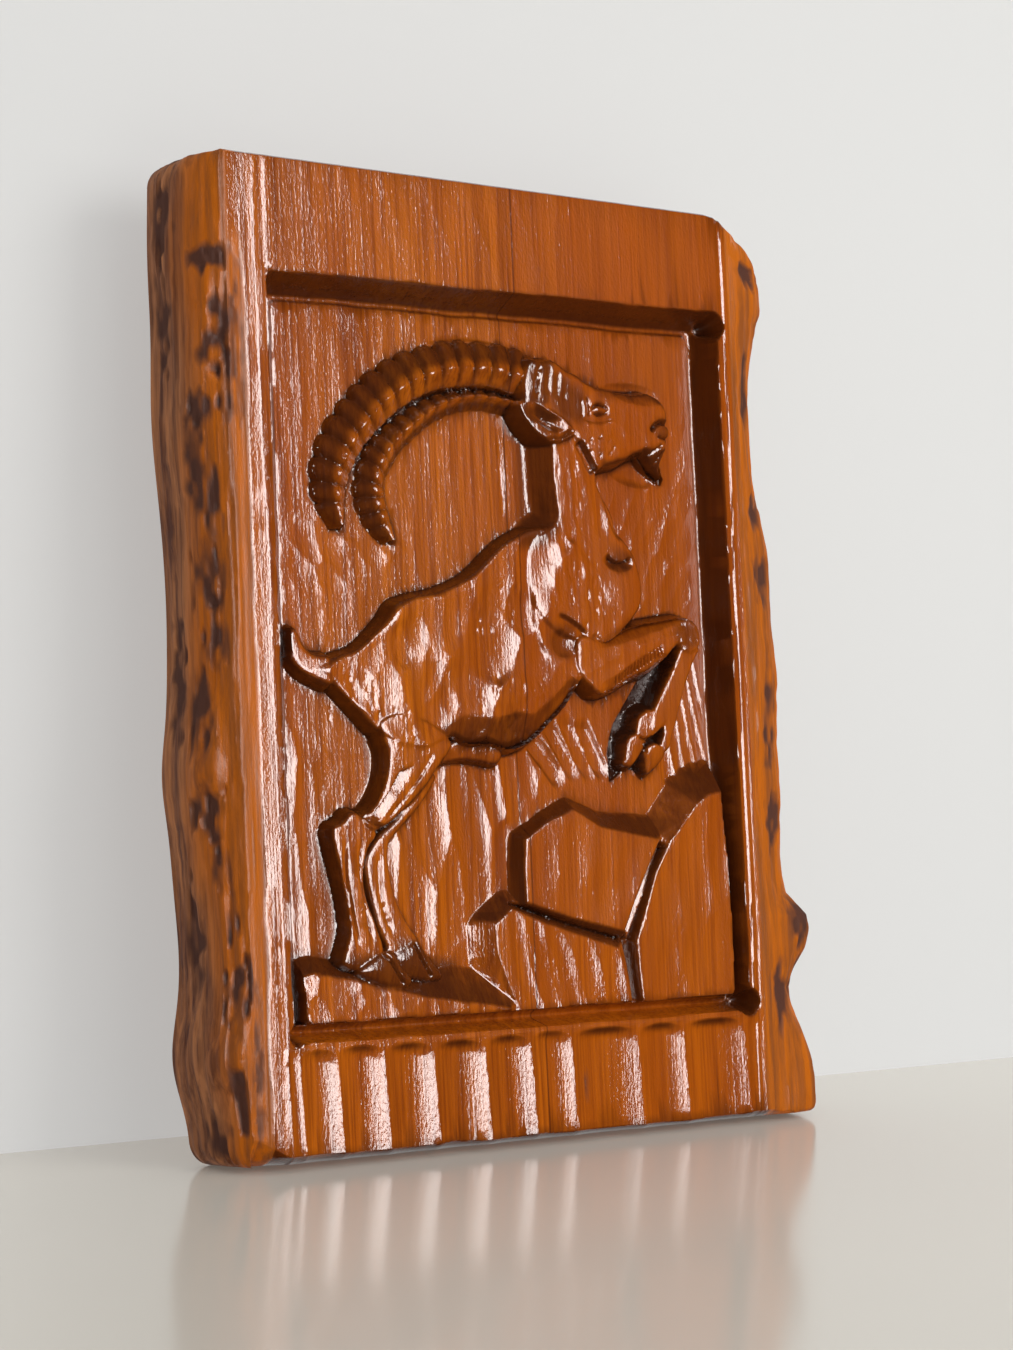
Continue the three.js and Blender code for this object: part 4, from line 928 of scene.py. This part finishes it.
def cut_masks(surface, depth, cell):
    """Where the front is darkened: end grain and stain with painted shade on steep walls and in
    pockets, and pooled lacquer with painted shade in hollows.
    """
    slope_z, slope_x = np.gradient(depth, surface.rows, surface.columns)
    facing = 1 / np.sqrt(1 + slope_x ** 2 + slope_z ** 2)
    # End grain on slopes across the grain, and painted shade on every steep wall whatever way it faces
    end_grain_and_wall_shade = np.maximum(ease(np.abs(slope_z) * facing, 0.14, 0.50),
                           0.95 * ease(1 - facing, 0.09, 0.36))
    end_grain_and_wall_shade *= 1 - blurred(surface.fresh, 1)
    along_bottom = ease(6.6 - surface.z, 0, 1) * ease(surface.z, -2, 0)
    end_grain_and_wall_shade *= 1 - 0.8 * along_bottom * ease(surface.x, 2, 6) * ease(202 - surface.x, 0, 4)
    end_grain_and_wall_shade = blurred(np.clip(np.maximum(end_grain_and_wall_shade, surface.stain_and_shade), 0, 1), 1)
    # Painted shade in hollows, with pooled lacquer: darker where the front lies below its blurred depth
    reach = max(1, round(HOLLOW_REACH / cell))
    hollow = np.clip((depth - blurred(depth, reach)) / HOLLOW_REACH - 0.15, 0, 1)
    hollow = hollow * ease(surface.z, 5, 8)
    hollow = np.maximum(hollow, blurred(np.clip(surface.stain_and_shade - 1, 0, 1), 1))
    return end_grain_and_wall_shade, np.clip(hollow, 0, 1)


def board_net(cell):
    """Rows of places round the board, from the back's left edge over the front to the back's
    right edge, with the masks that the finish reads."""
    surface = Surface(cell)
    carve_relief(surface)
    surface.snapping = False
    carve_relief(surface)
    depth = board_front(surface)
    marks = front_marks(surface.x, surface.z) * (surface.x < -8)
    depth += marks * (0.3 + 0.3 * noise(surface.x, surface.z, 1.5, 2.5, 94))
    fibrous = ease(-8.8 - surface.x + 0.7 * noise(surface.x * 0, surface.z, 9, 11, 95), 0, 1.2)
    fibrous = fibrous * ease(300 - surface.z, 0, 25)
    depth += fibrous * (0.15 + 0.35 * np.abs(noise(surface.x, surface.z, 1.9, 30, 96)))
    rows = surface.rows
    columns = max(12, round(EDGE_GIRTH / (1.5 * cell)))
    left_x, left_deep, left_dark, left_share = natural_edge(rows, columns, **LEFT_EDGE)
    right_x, right_deep, right_dark, right_share = natural_edge(rows, columns, **RIGHT_EDGE)
    left_deep = np.maximum(left_deep, depth[:, :1] * (1 - ease(left_share, 0, 0.35)))
    right_deep = np.maximum(right_deep, depth[:, -1:] * (1 - ease(right_share, 0, 0.35)))
    inward = np.linspace(0, 1, BACK_COLUMNS + 1)[1:]
    back_x = right_x[:, -1:] + (BACK_INNER_X - right_x[:, -1:]) * inward
    x = np.hstack([left_x[:, ::-1], surface.x, right_x, back_x])
    y = np.hstack([left_deep[:, ::-1], depth, right_deep, np.full(back_x.shape, THICKNESS)])
    z = np.repeat(rows[:, None], x.shape[1], axis=1)
    shoulder = ease(x, 204, 208) + 8 * ease(x, 208, 222) + 6 * ease(x, 218, 240)
    z = z - shoulder * ease(z, BOARD_TOP - SHOULDER_HEIGHT, BOARD_TOP)
    bevel = np.clip(BOARD_LOW + 1.2 - z, 0, None) + np.clip(z - BOARD_TOP + 1.0, 0, None)
    y = np.clip(y + bevel, 0, THICKNESS)
    end_grain_and_wall_shade, hollow = cut_masks(surface, depth, cell)
    left_pad, right_pad = np.zeros(left_x.shape), np.zeros((len(rows), columns + BACK_COLUMNS))
    return x, y, z, {
        "bark": np.hstack([left_dark[:, ::-1], front_marks(surface.x, surface.z), right_dark,
                           np.zeros(back_x.shape)]),
        "weather": np.hstack([0.25 + 0.75 * left_share[:, ::-1], 0.25 * fibrous,
                              0.12 + 0.88 * right_share, np.ones(back_x.shape)]),
        "end_grain_and_wall_shade": np.hstack([left_pad, end_grain_and_wall_shade, right_pad]),
        "hollow": np.hstack([left_pad, hollow, right_pad])}


def close_board(panel, columns):
    """Bridges the net's two long sides across the back, and fills both ends."""
    mesh = panel.data
    bpy.ops.object.mode_set(mode="EDIT")
    bpy.ops.mesh.select_all(action="DESELECT")
    bpy.ops.object.mode_set(mode="OBJECT")
    ends = np.empty(len(mesh.edges) * 2, int)
    mesh.edges.foreach_get("vertices", ends)
    column = ends.reshape(-1, 2) % columns
    picked = (column == 0).all(axis=1) | (column == columns - 1).all(axis=1)
    mesh.edges.foreach_set("select", picked)
    bpy.ops.object.mode_set(mode="EDIT")
    bpy.ops.mesh.select_mode(type="EDGE")
    bpy.ops.mesh.bridge_edge_loops()
    bpy.ops.mesh.select_all(action="DESELECT")
    bpy.ops.mesh.select_non_manifold()
    bpy.ops.mesh.fill_holes(sides=0)
    bpy.ops.mesh.select_all(action="SELECT")
    bpy.ops.mesh.normals_make_consistent(inside=False)
    bpy.ops.object.mode_set(mode="OBJECT")


def build_panel_mesh(context, cell):
    """Lays a net round the board, closes its back and ends, and thins it to the face limit."""
    x, y, z, masks = board_net(cell)
    rows, columns = x.shape
    bpy.ops.object.select_all(action="DESELECT")
    bpy.ops.mesh.primitive_grid_add(x_subdivisions=columns - 1, y_subdivisions=rows - 1, size=1.0)
    panel = context.object
    panel.name = "carved_board"
    mesh = panel.data
    places = np.stack([(x - RIM_WIDTH / 2) * MM, (y - THICKNESS) * MM,
                       (z + BOTTOM_RAIL) * MM + NODE_LOW[2]], axis=-1)
    mesh.vertices.foreach_set("co", places.reshape(-1))
    for name, values in masks.items():
        layer = mesh.attributes.new(name, "FLOAT", "POINT")
        layer.data.foreach_set("value", values.reshape(-1).astype(np.float32))
    mesh.update()
    close_board(panel, columns)
    faces = sum(len(face.vertices) - 2 for face in mesh.polygons)
    if faces > FACE_LIMIT:
        thin = panel.modifiers.new("thin", "DECIMATE")
        thin.ratio = FACE_LIMIT / faces
        bpy.ops.object.modifier_apply(modifier=thin.name)
    bpy.ops.object.shade_smooth_by_angle(angle=SMOOTH_ANGLE)
    return panel


# The finish

NODE_WIDTH = 200
NODE_HEIGHT = 260
NODES_IN_COLUMN = 8


def add_node(tree, kind, **settings):
    """A new node, set out in columns in the order of the calls."""
    column, row = divmod(len(tree.nodes), NODES_IN_COLUMN)
    node = tree.nodes.new(kind)
    node.location = ((column - NODES_IN_COLUMN) * NODE_WIDTH, -row * NODE_HEIGHT)
    for name, value in settings.items():
        setattr(node, name, value)
    return node


def math_node(tree, operation, first, second=None):
    """The result of one operation on sockets or numbers."""
    node = add_node(tree, "ShaderNodeMath", operation=operation)
    for socket, value in zip(node.inputs, (first, second)):
        if value is None:
            continue
        if isinstance(value, (int, float)):
            socket.default_value = value
        else:
            tree.links.new(value, socket)
    return node.outputs[0]


def mix_colour(tree, factor, first, second):
    """The first colour where the factor is 0 and the second where it is 1."""
    node = add_node(tree, "ShaderNodeMix", data_type="RGBA")
    for socket, value in ((node.inputs[0], factor), (node.inputs[6], first), (node.inputs[7], second)):
        if isinstance(value, bpy.types.NodeSocket):
            tree.links.new(value, socket)
        else:
            socket.default_value = value
    return node.outputs[2]


def pattern(tree, places, scale, detail, roughness, distortion, stretch):
    """Noise of this scale over the places, drawn out where the stretch is below 1."""
    mapping = add_node(tree, "ShaderNodeMapping")
    mapping.inputs["Scale"].default_value = stretch
    tree.links.new(places, mapping.inputs["Vector"])
    noise_node = add_node(tree, "ShaderNodeTexNoise")
    noise_node.inputs["Scale"].default_value = scale
    noise_node.inputs["Detail"].default_value = detail
    noise_node.inputs["Roughness"].default_value = roughness
    noise_node.inputs["Distortion"].default_value = distortion
    tree.links.new(mapping.outputs[0], noise_node.inputs["Vector"])
    return noise_node.outputs["Fac"]


def remap(tree, value, low, high, to_low=0.0, to_high=1.0):
    """The value moved from one range to another, and held inside it."""
    node = add_node(tree, "ShaderNodeMapRange", clamp=True)
    node.inputs["From Min"].default_value = low
    node.inputs["From Max"].default_value = high
    node.inputs["To Min"].default_value = to_low
    node.inputs["To Max"].default_value = to_high
    tree.links.new(value, node.inputs["Value"])
    return node.outputs["Result"]


def attribute(tree, name):
    """One of the masks that the mesh carries."""
    return add_node(tree, "ShaderNodeAttribute", attribute_name=name).outputs["Fac"]


SEAM_X = 0.0048


def lacquered_wood(colours):
    """Softwood under a brown gloss lacquer: grain up the board, darker end grain and stain,
    painted shade on steep walls and in hollows, weathered natural edges."""
    material = bpy.data.materials.new("lacquered_softwood")
    material.use_nodes = True
    tree = material.node_tree
    shader = tree.nodes["Principled BSDF"]
    places = add_node(tree, "ShaderNodeTexCoord").outputs["Object"]
    apart = add_node(tree, "ShaderNodeSeparateXYZ")
    tree.links.new(places, apart.inputs[0])
    fine = pattern(tree, places, 820, 2, 0.6, 0.0, (1, 0.6, 0.024))
    streak = pattern(tree, places, 210, 3, 0.55, 0.1, (1, 0.5, 0.016))
    broad = pattern(tree, places, 26, 3, 0.5, 0.4, (1, 0.8, 0.16))
    blotch = pattern(tree, places, 14, 2, 0.5, 0.0, (1, 1, 0.7))
    stipple = pattern(tree, places, 1000, 2, 0.6, 0.0, (1, 1, 0.45))

    tone = mix_colour(tree, remap(tree, broad, 0.3, 0.7), colours["light"], colours["middle"])
    tone = mix_colour(tree, remap(tree, streak, 0.42, 0.64, 0.0, 0.42), tone, colours["dark"])
    tone = mix_colour(tree, remap(tree, fine, 0.44, 0.66, 0.0, 0.55), tone, colours["dark"])
    tone = mix_colour(tree, remap(tree, blotch, 0.50, 0.72, 0.0, 0.28), tone, colours["dark"])
    seam = math_node(tree, "ADD", apart.outputs[0], remap(tree, broad, 0.0, 1.0, -0.001, 0.001))
    right_half = remap(tree, seam, SEAM_X - 0.0002, SEAM_X + 0.0002, 0.0, 0.35)
    tone = mix_colour(tree, right_half, tone, colours["middle"])
    beside_seam = math_node(tree, "ABSOLUTE", math_node(tree, "SUBTRACT", seam, SEAM_X))
    joint_line = remap(tree, beside_seam, 0.0002, 0.0005, 0.6, 0.0)
    tone = mix_colour(tree, joint_line, tone, colours["end"])
    # Painted shade: walls and pockets take the end-grain colour and hollows the crevice colour, besides
    # real end grain, stain and pooled lacquer
    end = remap(tree, attribute(tree, "end_grain_and_wall_shade"), 0.0, 1.0, 0.0, 0.88)
    tone = mix_colour(tree, end, tone, colours["end"])
    hollow = remap(tree, attribute(tree, "hollow"), 0.1, 0.9, 0.0, 0.8)
    tone = mix_colour(tree, hollow, tone, colours["pooled_lacquer_and_shade"])
    weather = attribute(tree, "weather")
    edge_streak = pattern(tree, places, 230, 4, 0.65, 0.4, (1, 1, 0.05))
    edge_tone = mix_colour(tree, remap(tree, edge_streak, 0.38, 0.60), colours["bark"],
                           colours["light"])
    outer_tone = mix_colour(tree, remap(tree, edge_streak, 0.36, 0.62), colours["knot"],
                            colours["weathered"])
    reach = math_node(tree, "ADD", weather, remap(tree, blotch, 0.3, 0.7, -0.15, 0.15))
    edge_tone = mix_colour(tree, remap(tree, reach, 0.52, 0.76), edge_tone, outer_tone)
    tone = mix_colour(tree, remap(tree, weather, 0.0, 0.10, 0.0, 0.9), tone, edge_tone)
    bark = attribute(tree, "bark")
    tone = mix_colour(tree, bark, tone, colours["knot"])
    tree.links.new(tone, shader.inputs["Base Color"])

    rough = remap(tree, blotch, 0.3, 0.7, 0.30, 0.42)
    rough = math_node(tree, "ADD", rough, math_node(tree, "MULTIPLY", weather, 0.25))
    tree.links.new(rough, shader.inputs["Roughness"])
    coat = math_node(tree, "MULTIPLY", remap(tree, weather, 0.02, 0.24, 1.0, 0.24),
                     remap(tree, bark, 0.0, 1.0, 1.0, 0.6))
    tree.links.new(coat, shader.inputs["Coat Weight"])
    dulled = math_node(tree, "ADD", remap(tree, weather, 0.02, 0.25, 0.145, 0.34),
                       remap(tree, bark, 0.0, 0.6, 0.0, 0.14))
    tree.links.new(dulled, shader.inputs["Coat Roughness"])
    shader.inputs["Specular IOR Level"].default_value = 0.0
    shader.inputs["Coat IOR"].default_value = 1.6

    grain_height = math_node(tree, "ADD", math_node(tree, "MULTIPLY", fine, 0.8),
                             math_node(tree, "MULTIPLY", stipple, 1.0))
    height = math_node(tree, "ADD", grain_height, math_node(tree, "MULTIPLY", streak, 0.15))
    bump = add_node(tree, "ShaderNodeBump")
    bump.inputs["Strength"].default_value = 0.55
    bump.inputs["Distance"].default_value = 0.00026
    tree.links.new(height, bump.inputs["Height"])
    tree.links.new(bump.outputs["Normal"], shader.inputs["Normal"])
    tree.links.new(bump.outputs["Normal"], shader.inputs["Coat Normal"])
    return material


def plain_material(name, colour, roughness, glow, see_through_back=False):
    """A plain stage material that glows a little, and may be clear from behind."""
    material = bpy.data.materials.new(name)
    material.use_nodes = True
    tree = material.node_tree
    shader = tree.nodes["Principled BSDF"]
    shader.inputs["Base Color"].default_value = colour
    shader.inputs["Roughness"].default_value = roughness
    shader.inputs["Emission Color"].default_value = colour
    shader.inputs["Emission Strength"].default_value = glow
    if see_through_back:
        backfacing = add_node(tree, "ShaderNodeNewGeometry").outputs["Backfacing"]
        clear = add_node(tree, "ShaderNodeBsdfTransparent")
        choose = add_node(tree, "ShaderNodeMixShader")
        output = tree.nodes["Material Output"]
        tree.links.new(backfacing, choose.inputs[0])
        tree.links.new(shader.outputs[0], choose.inputs[1])
        tree.links.new(clear.outputs[0], choose.inputs[2])
        tree.links.new(choose.outputs[0], output.inputs["Surface"])
    return material


# The studio

RIM_CORNER = Vector((-0.10375, -0.032, -0.1405))
CAMERA_AXES = ((0.83239, -0.55245, -0.04381), (0.01117, 0.09576, -0.99534), (0.55408, 0.82802, 0.08588))
CAMERA_OFFSET = Vector((-0.45547, -0.82564, 0.04713))
CAMERA_LENS = 70.22
LEAN = math.radians(5.0)
STAGE_SIZE = 12.0
WALL_GAP = 0.03
LIGHT_DISTANCE = 1.6


def studio_camera():
    """The camera at the photograph's viewing angle."""
    right, down, ahead = (Vector(axis) for axis in CAMERA_AXES)
    place = RIM_CORNER + CAMERA_OFFSET
    up, back = -down, -ahead
    data = bpy.data.cameras.new("view")
    data.lens = CAMERA_LENS
    data.sensor_width = 36.0
    data.clip_start = 0.01
    camera = bpy.data.objects.new("view", data)
    camera.matrix_world = Matrix(((right.x, up.x, back.x, place.x), (right.y, up.y, back.y, place.y),
                                  (right.z, up.z, back.z, place.z), (0, 0, 0, 1)))
    bpy.context.collection.objects.link(camera)
    bpy.context.scene.camera = camera


def turned_to(direction):
    """A turn that points an object's Z axis along the direction."""
    return direction.to_track_quat("Z", "Y").to_matrix().to_4x4()


def soft_light(name, aim, azimuth, elevation, width, height, power, colour):
    """A soft light round the aim: azimuth is to the right of the board's face."""
    azimuth, elevation = math.radians(azimuth), math.radians(elevation)
    toward = Vector((math.sin(azimuth) * math.cos(elevation), -math.cos(azimuth) * math.cos(elevation),
                     math.sin(elevation)))
    data = bpy.data.lights.new(name, "AREA")
    data.shape = "RECTANGLE"
    data.size = width
    data.size_y = height
    data.energy = power
    data.color = colour
    light = bpy.data.objects.new(name, data)
    light.matrix_world = Matrix.Translation(aim + toward * LIGHT_DISTANCE) @ turned_to(toward)
    bpy.context.collection.objects.link(light)
    return light


def stage_plane(name, centre, normal, material):
    """A wide plane through the centre that faces along the normal."""
    bpy.ops.object.select_all(action="DESELECT")
    bpy.ops.mesh.primitive_plane_add(size=STAGE_SIZE)
    plane = bpy.context.object
    plane.name = name
    plane.data.transform(Matrix.Translation(centre) @ turned_to(normal))
    plane.data.materials.append(material)
    return plane


# The add-on

class CarvingSettings(bpy.types.PropertyGroup):
    cell: FloatProperty(name="Net spacing",
                        description="Width of one cell of the carved surface before it is thinned",
                        default=0.00048, min=0.0003, max=0.003, precision=5, subtype="DISTANCE",
                        unit="LENGTH")
    light: FloatVectorProperty(name="Light wood",
                               description="Colour of the palest early wood under the lacquer",
                               default=(0.58, 0.140, 0.004), size=3, min=0, max=1, subtype="COLOR")
    middle: FloatVectorProperty(name="Wood", description="Main colour of the lacquered wood",
                                default=(0.42, 0.082, 0.003), size=3, min=0, max=1, subtype="COLOR")
    dark: FloatVectorProperty(name="Dark grain",
                              description="Colour of the late wood in the grain lines",
                              default=(0.17, 0.027, 0.003), size=3, min=0, max=1, subtype="COLOR")
    # Also the colour of painted shade on steep walls and in pockets
    end: FloatVectorProperty(name="End grain", description="Colour where the cut runs across the grain",
                             default=(0.052, 0.012, 0.004), size=3, min=0, max=1, subtype="COLOR")
    # Also the colour of painted shade in hollows and in the foreleg pit
    pooled_lacquer_and_shade: FloatVectorProperty(name="Crevices",
                                 description="Colour of lacquer pooled in hollows and knots",
                                 default=(0.022, 0.007, 0.004), size=3, min=0, max=1, subtype="COLOR")
    knot: FloatVectorProperty(name="Knots and bark",
                              description="Colour of knots and of bark left on the edge",
                              default=(0.085, 0.036, 0.027), size=3, min=0, max=1, subtype="COLOR")
    bark: FloatVectorProperty(name="Bark side",
                              description="Dark colour of the streaks on the natural edges",
                              default=(0.30, 0.085, 0.016), size=3, min=0, max=1, subtype="COLOR")
    weathered: FloatVectorProperty(name="Natural edge",
                                   description="Colour of the weathered outer edge",
                                   default=(0.46, 0.185, 0.075), size=3, min=0, max=1, subtype="COLOR")


class StageSettings(bpy.types.PropertyGroup):
    key_power: FloatProperty(name="Key light", description="Power of the large soft light",
                             default=12.0, min=0, unit="POWER")
    gleam_power: FloatProperty(name="Gleam",
                               description="Power of the light that only the lacquer's gloss picks up",
                               default=46.0, min=0, unit="POWER")
    fill: FloatProperty(name="Fill", description="Strength of the even light all round", default=0.50,
                        min=0, max=5)
    floor_colour: FloatVectorProperty(name="Floor", description="Colour of the floor",
                                      default=(0.60, 0.565, 0.50), size=3, min=0, max=1,
                                      subtype="COLOR")
    wall_colour: FloatVectorProperty(name="Wall", description="Colour of the backdrop",
                                     default=(0.36, 0.36, 0.355), size=3, min=0, max=1, subtype="COLOR")


def rgba(colour):
    """A colour with full alpha."""
    return (*colour, 1.0)


WOOD_COLOURS = ("light", "middle", "dark", "end", "pooled_lacquer_and_shade", "knot", "bark", "weathered")


class CARVING_OT_board(bpy.types.Operator):
    """Carve the board with its relief, sunk field, fluted rail and natural edges"""
    bl_idname = "carving.board"
    bl_label = "Carve the board"

    def execute(self, context):
        settings = context.scene.carving
        cell = settings.cell / MM
        panel = build_panel_mesh(context, cell)
        colours = {name: rgba(getattr(settings, name)) for name in WOOD_COLOURS}
        panel.data.materials.clear()
        panel.data.materials.append(lacquered_wood(colours))
        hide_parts("carved_panel")
        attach(panel, "root")
        return {"FINISHED"}


class CARVING_OT_stage(bpy.types.Operator):
    """Set up the floor, the backdrop, the lights and the camera"""
    bl_idname = "carving.stage"
    bl_label = "Set the stage"

    def execute(self, context):
        settings = context.scene.carving_stage
        foot = Vector((0, 0, NODE_LOW[2]))
        upright = Vector((0, -math.sin(LEAN), math.cos(LEAN)))
        ahead = Vector((0, -math.cos(LEAN), -math.sin(LEAN)))
        top_back = Vector((0, 0, NODE_HIGH[2]))
        floor = stage_plane("floor", foot, upright,
                            plain_material("pale_floor", rgba(settings.floor_colour), 0.16, glow=0.14))
        wall = stage_plane("backdrop", top_back - ahead * WALL_GAP, ahead,
                           plain_material("pale_wall", rgba(settings.wall_colour), 0.9, glow=1.1,
                                          see_through_back=True))
        wall.visible_shadow = False
        floor.visible_glossy = False
        aim = (NODE_LOW + NODE_HIGH) / 2
        soft_light("key", aim, 26, 12, 0.8, 0.9, settings.key_power,
                   (1.0, 0.98, 0.96)).visible_glossy = False
        gleam = soft_light("gleam", aim, 0, 6, 0.8, 1.2, settings.gleam_power, (1.0, 0.96, 0.94))
        gleam.visible_diffuse = False
        world = bpy.data.worlds.new("studio")
        world.use_nodes = True
        background = world.node_tree.nodes["Background"]
        background.inputs["Color"].default_value = (0.95, 0.98, 1.0, 1.0)
        tree = world.node_tree
        direction = add_node(tree, "ShaderNodeTexCoord").outputs["Generated"]
        toward = add_node(tree, "ShaderNodeVectorMath", operation="DOT_PRODUCT")
        toward.inputs[1].default_value = (0.62, -0.70, 0.35)
        tree.links.new(direction, toward.inputs[0])
        tree.links.new(remap(tree, toward.outputs["Value"], -0.8, 1.0, 0.55 * settings.fill,
                             1.35 * settings.fill), background.inputs["Strength"])
        world.cycles_visibility.glossy = False
        context.scene.world = world
        context.scene.view_settings.view_transform = "Standard"
        studio_camera()
        return {"FINISHED"}


class CARVING_PT_panel(bpy.types.Panel):
    """Lists the carving's operators and settings"""
    bl_idname = "CARVING_PT_panel"
    bl_label = "Ibex carving"
    bl_space_type = "VIEW_3D"
    bl_region_type = "UI"
    bl_category = "Carving"

    def draw(self, context):
        for group, operator in ((context.scene.carving, "carving.board"),
                                (context.scene.carving_stage, "carving.stage")):
            box = self.layout.box()
            for name in group.bl_rna.properties.keys():
                if name not in ("rna_type", "name"):
                    box.prop(group, name)
            box.operator(operator)


CLASSES = (CarvingSettings, StageSettings, CARVING_OT_board, CARVING_OT_stage, CARVING_PT_panel)


def register():
    for item in CLASSES:
        bpy.utils.register_class(item)
    bpy.types.Scene.carving = PointerProperty(type=CarvingSettings)
    bpy.types.Scene.carving_stage = PointerProperty(type=StageSettings)


def unregister():
    del bpy.types.Scene.carving_stage
    del bpy.types.Scene.carving
    for item in reversed(CLASSES):
        bpy.utils.unregister_class(item)


def main():
    register()
    bpy.ops.carving.board()
    bpy.ops.carving.stage()


if __name__ == "__main__":
    main()
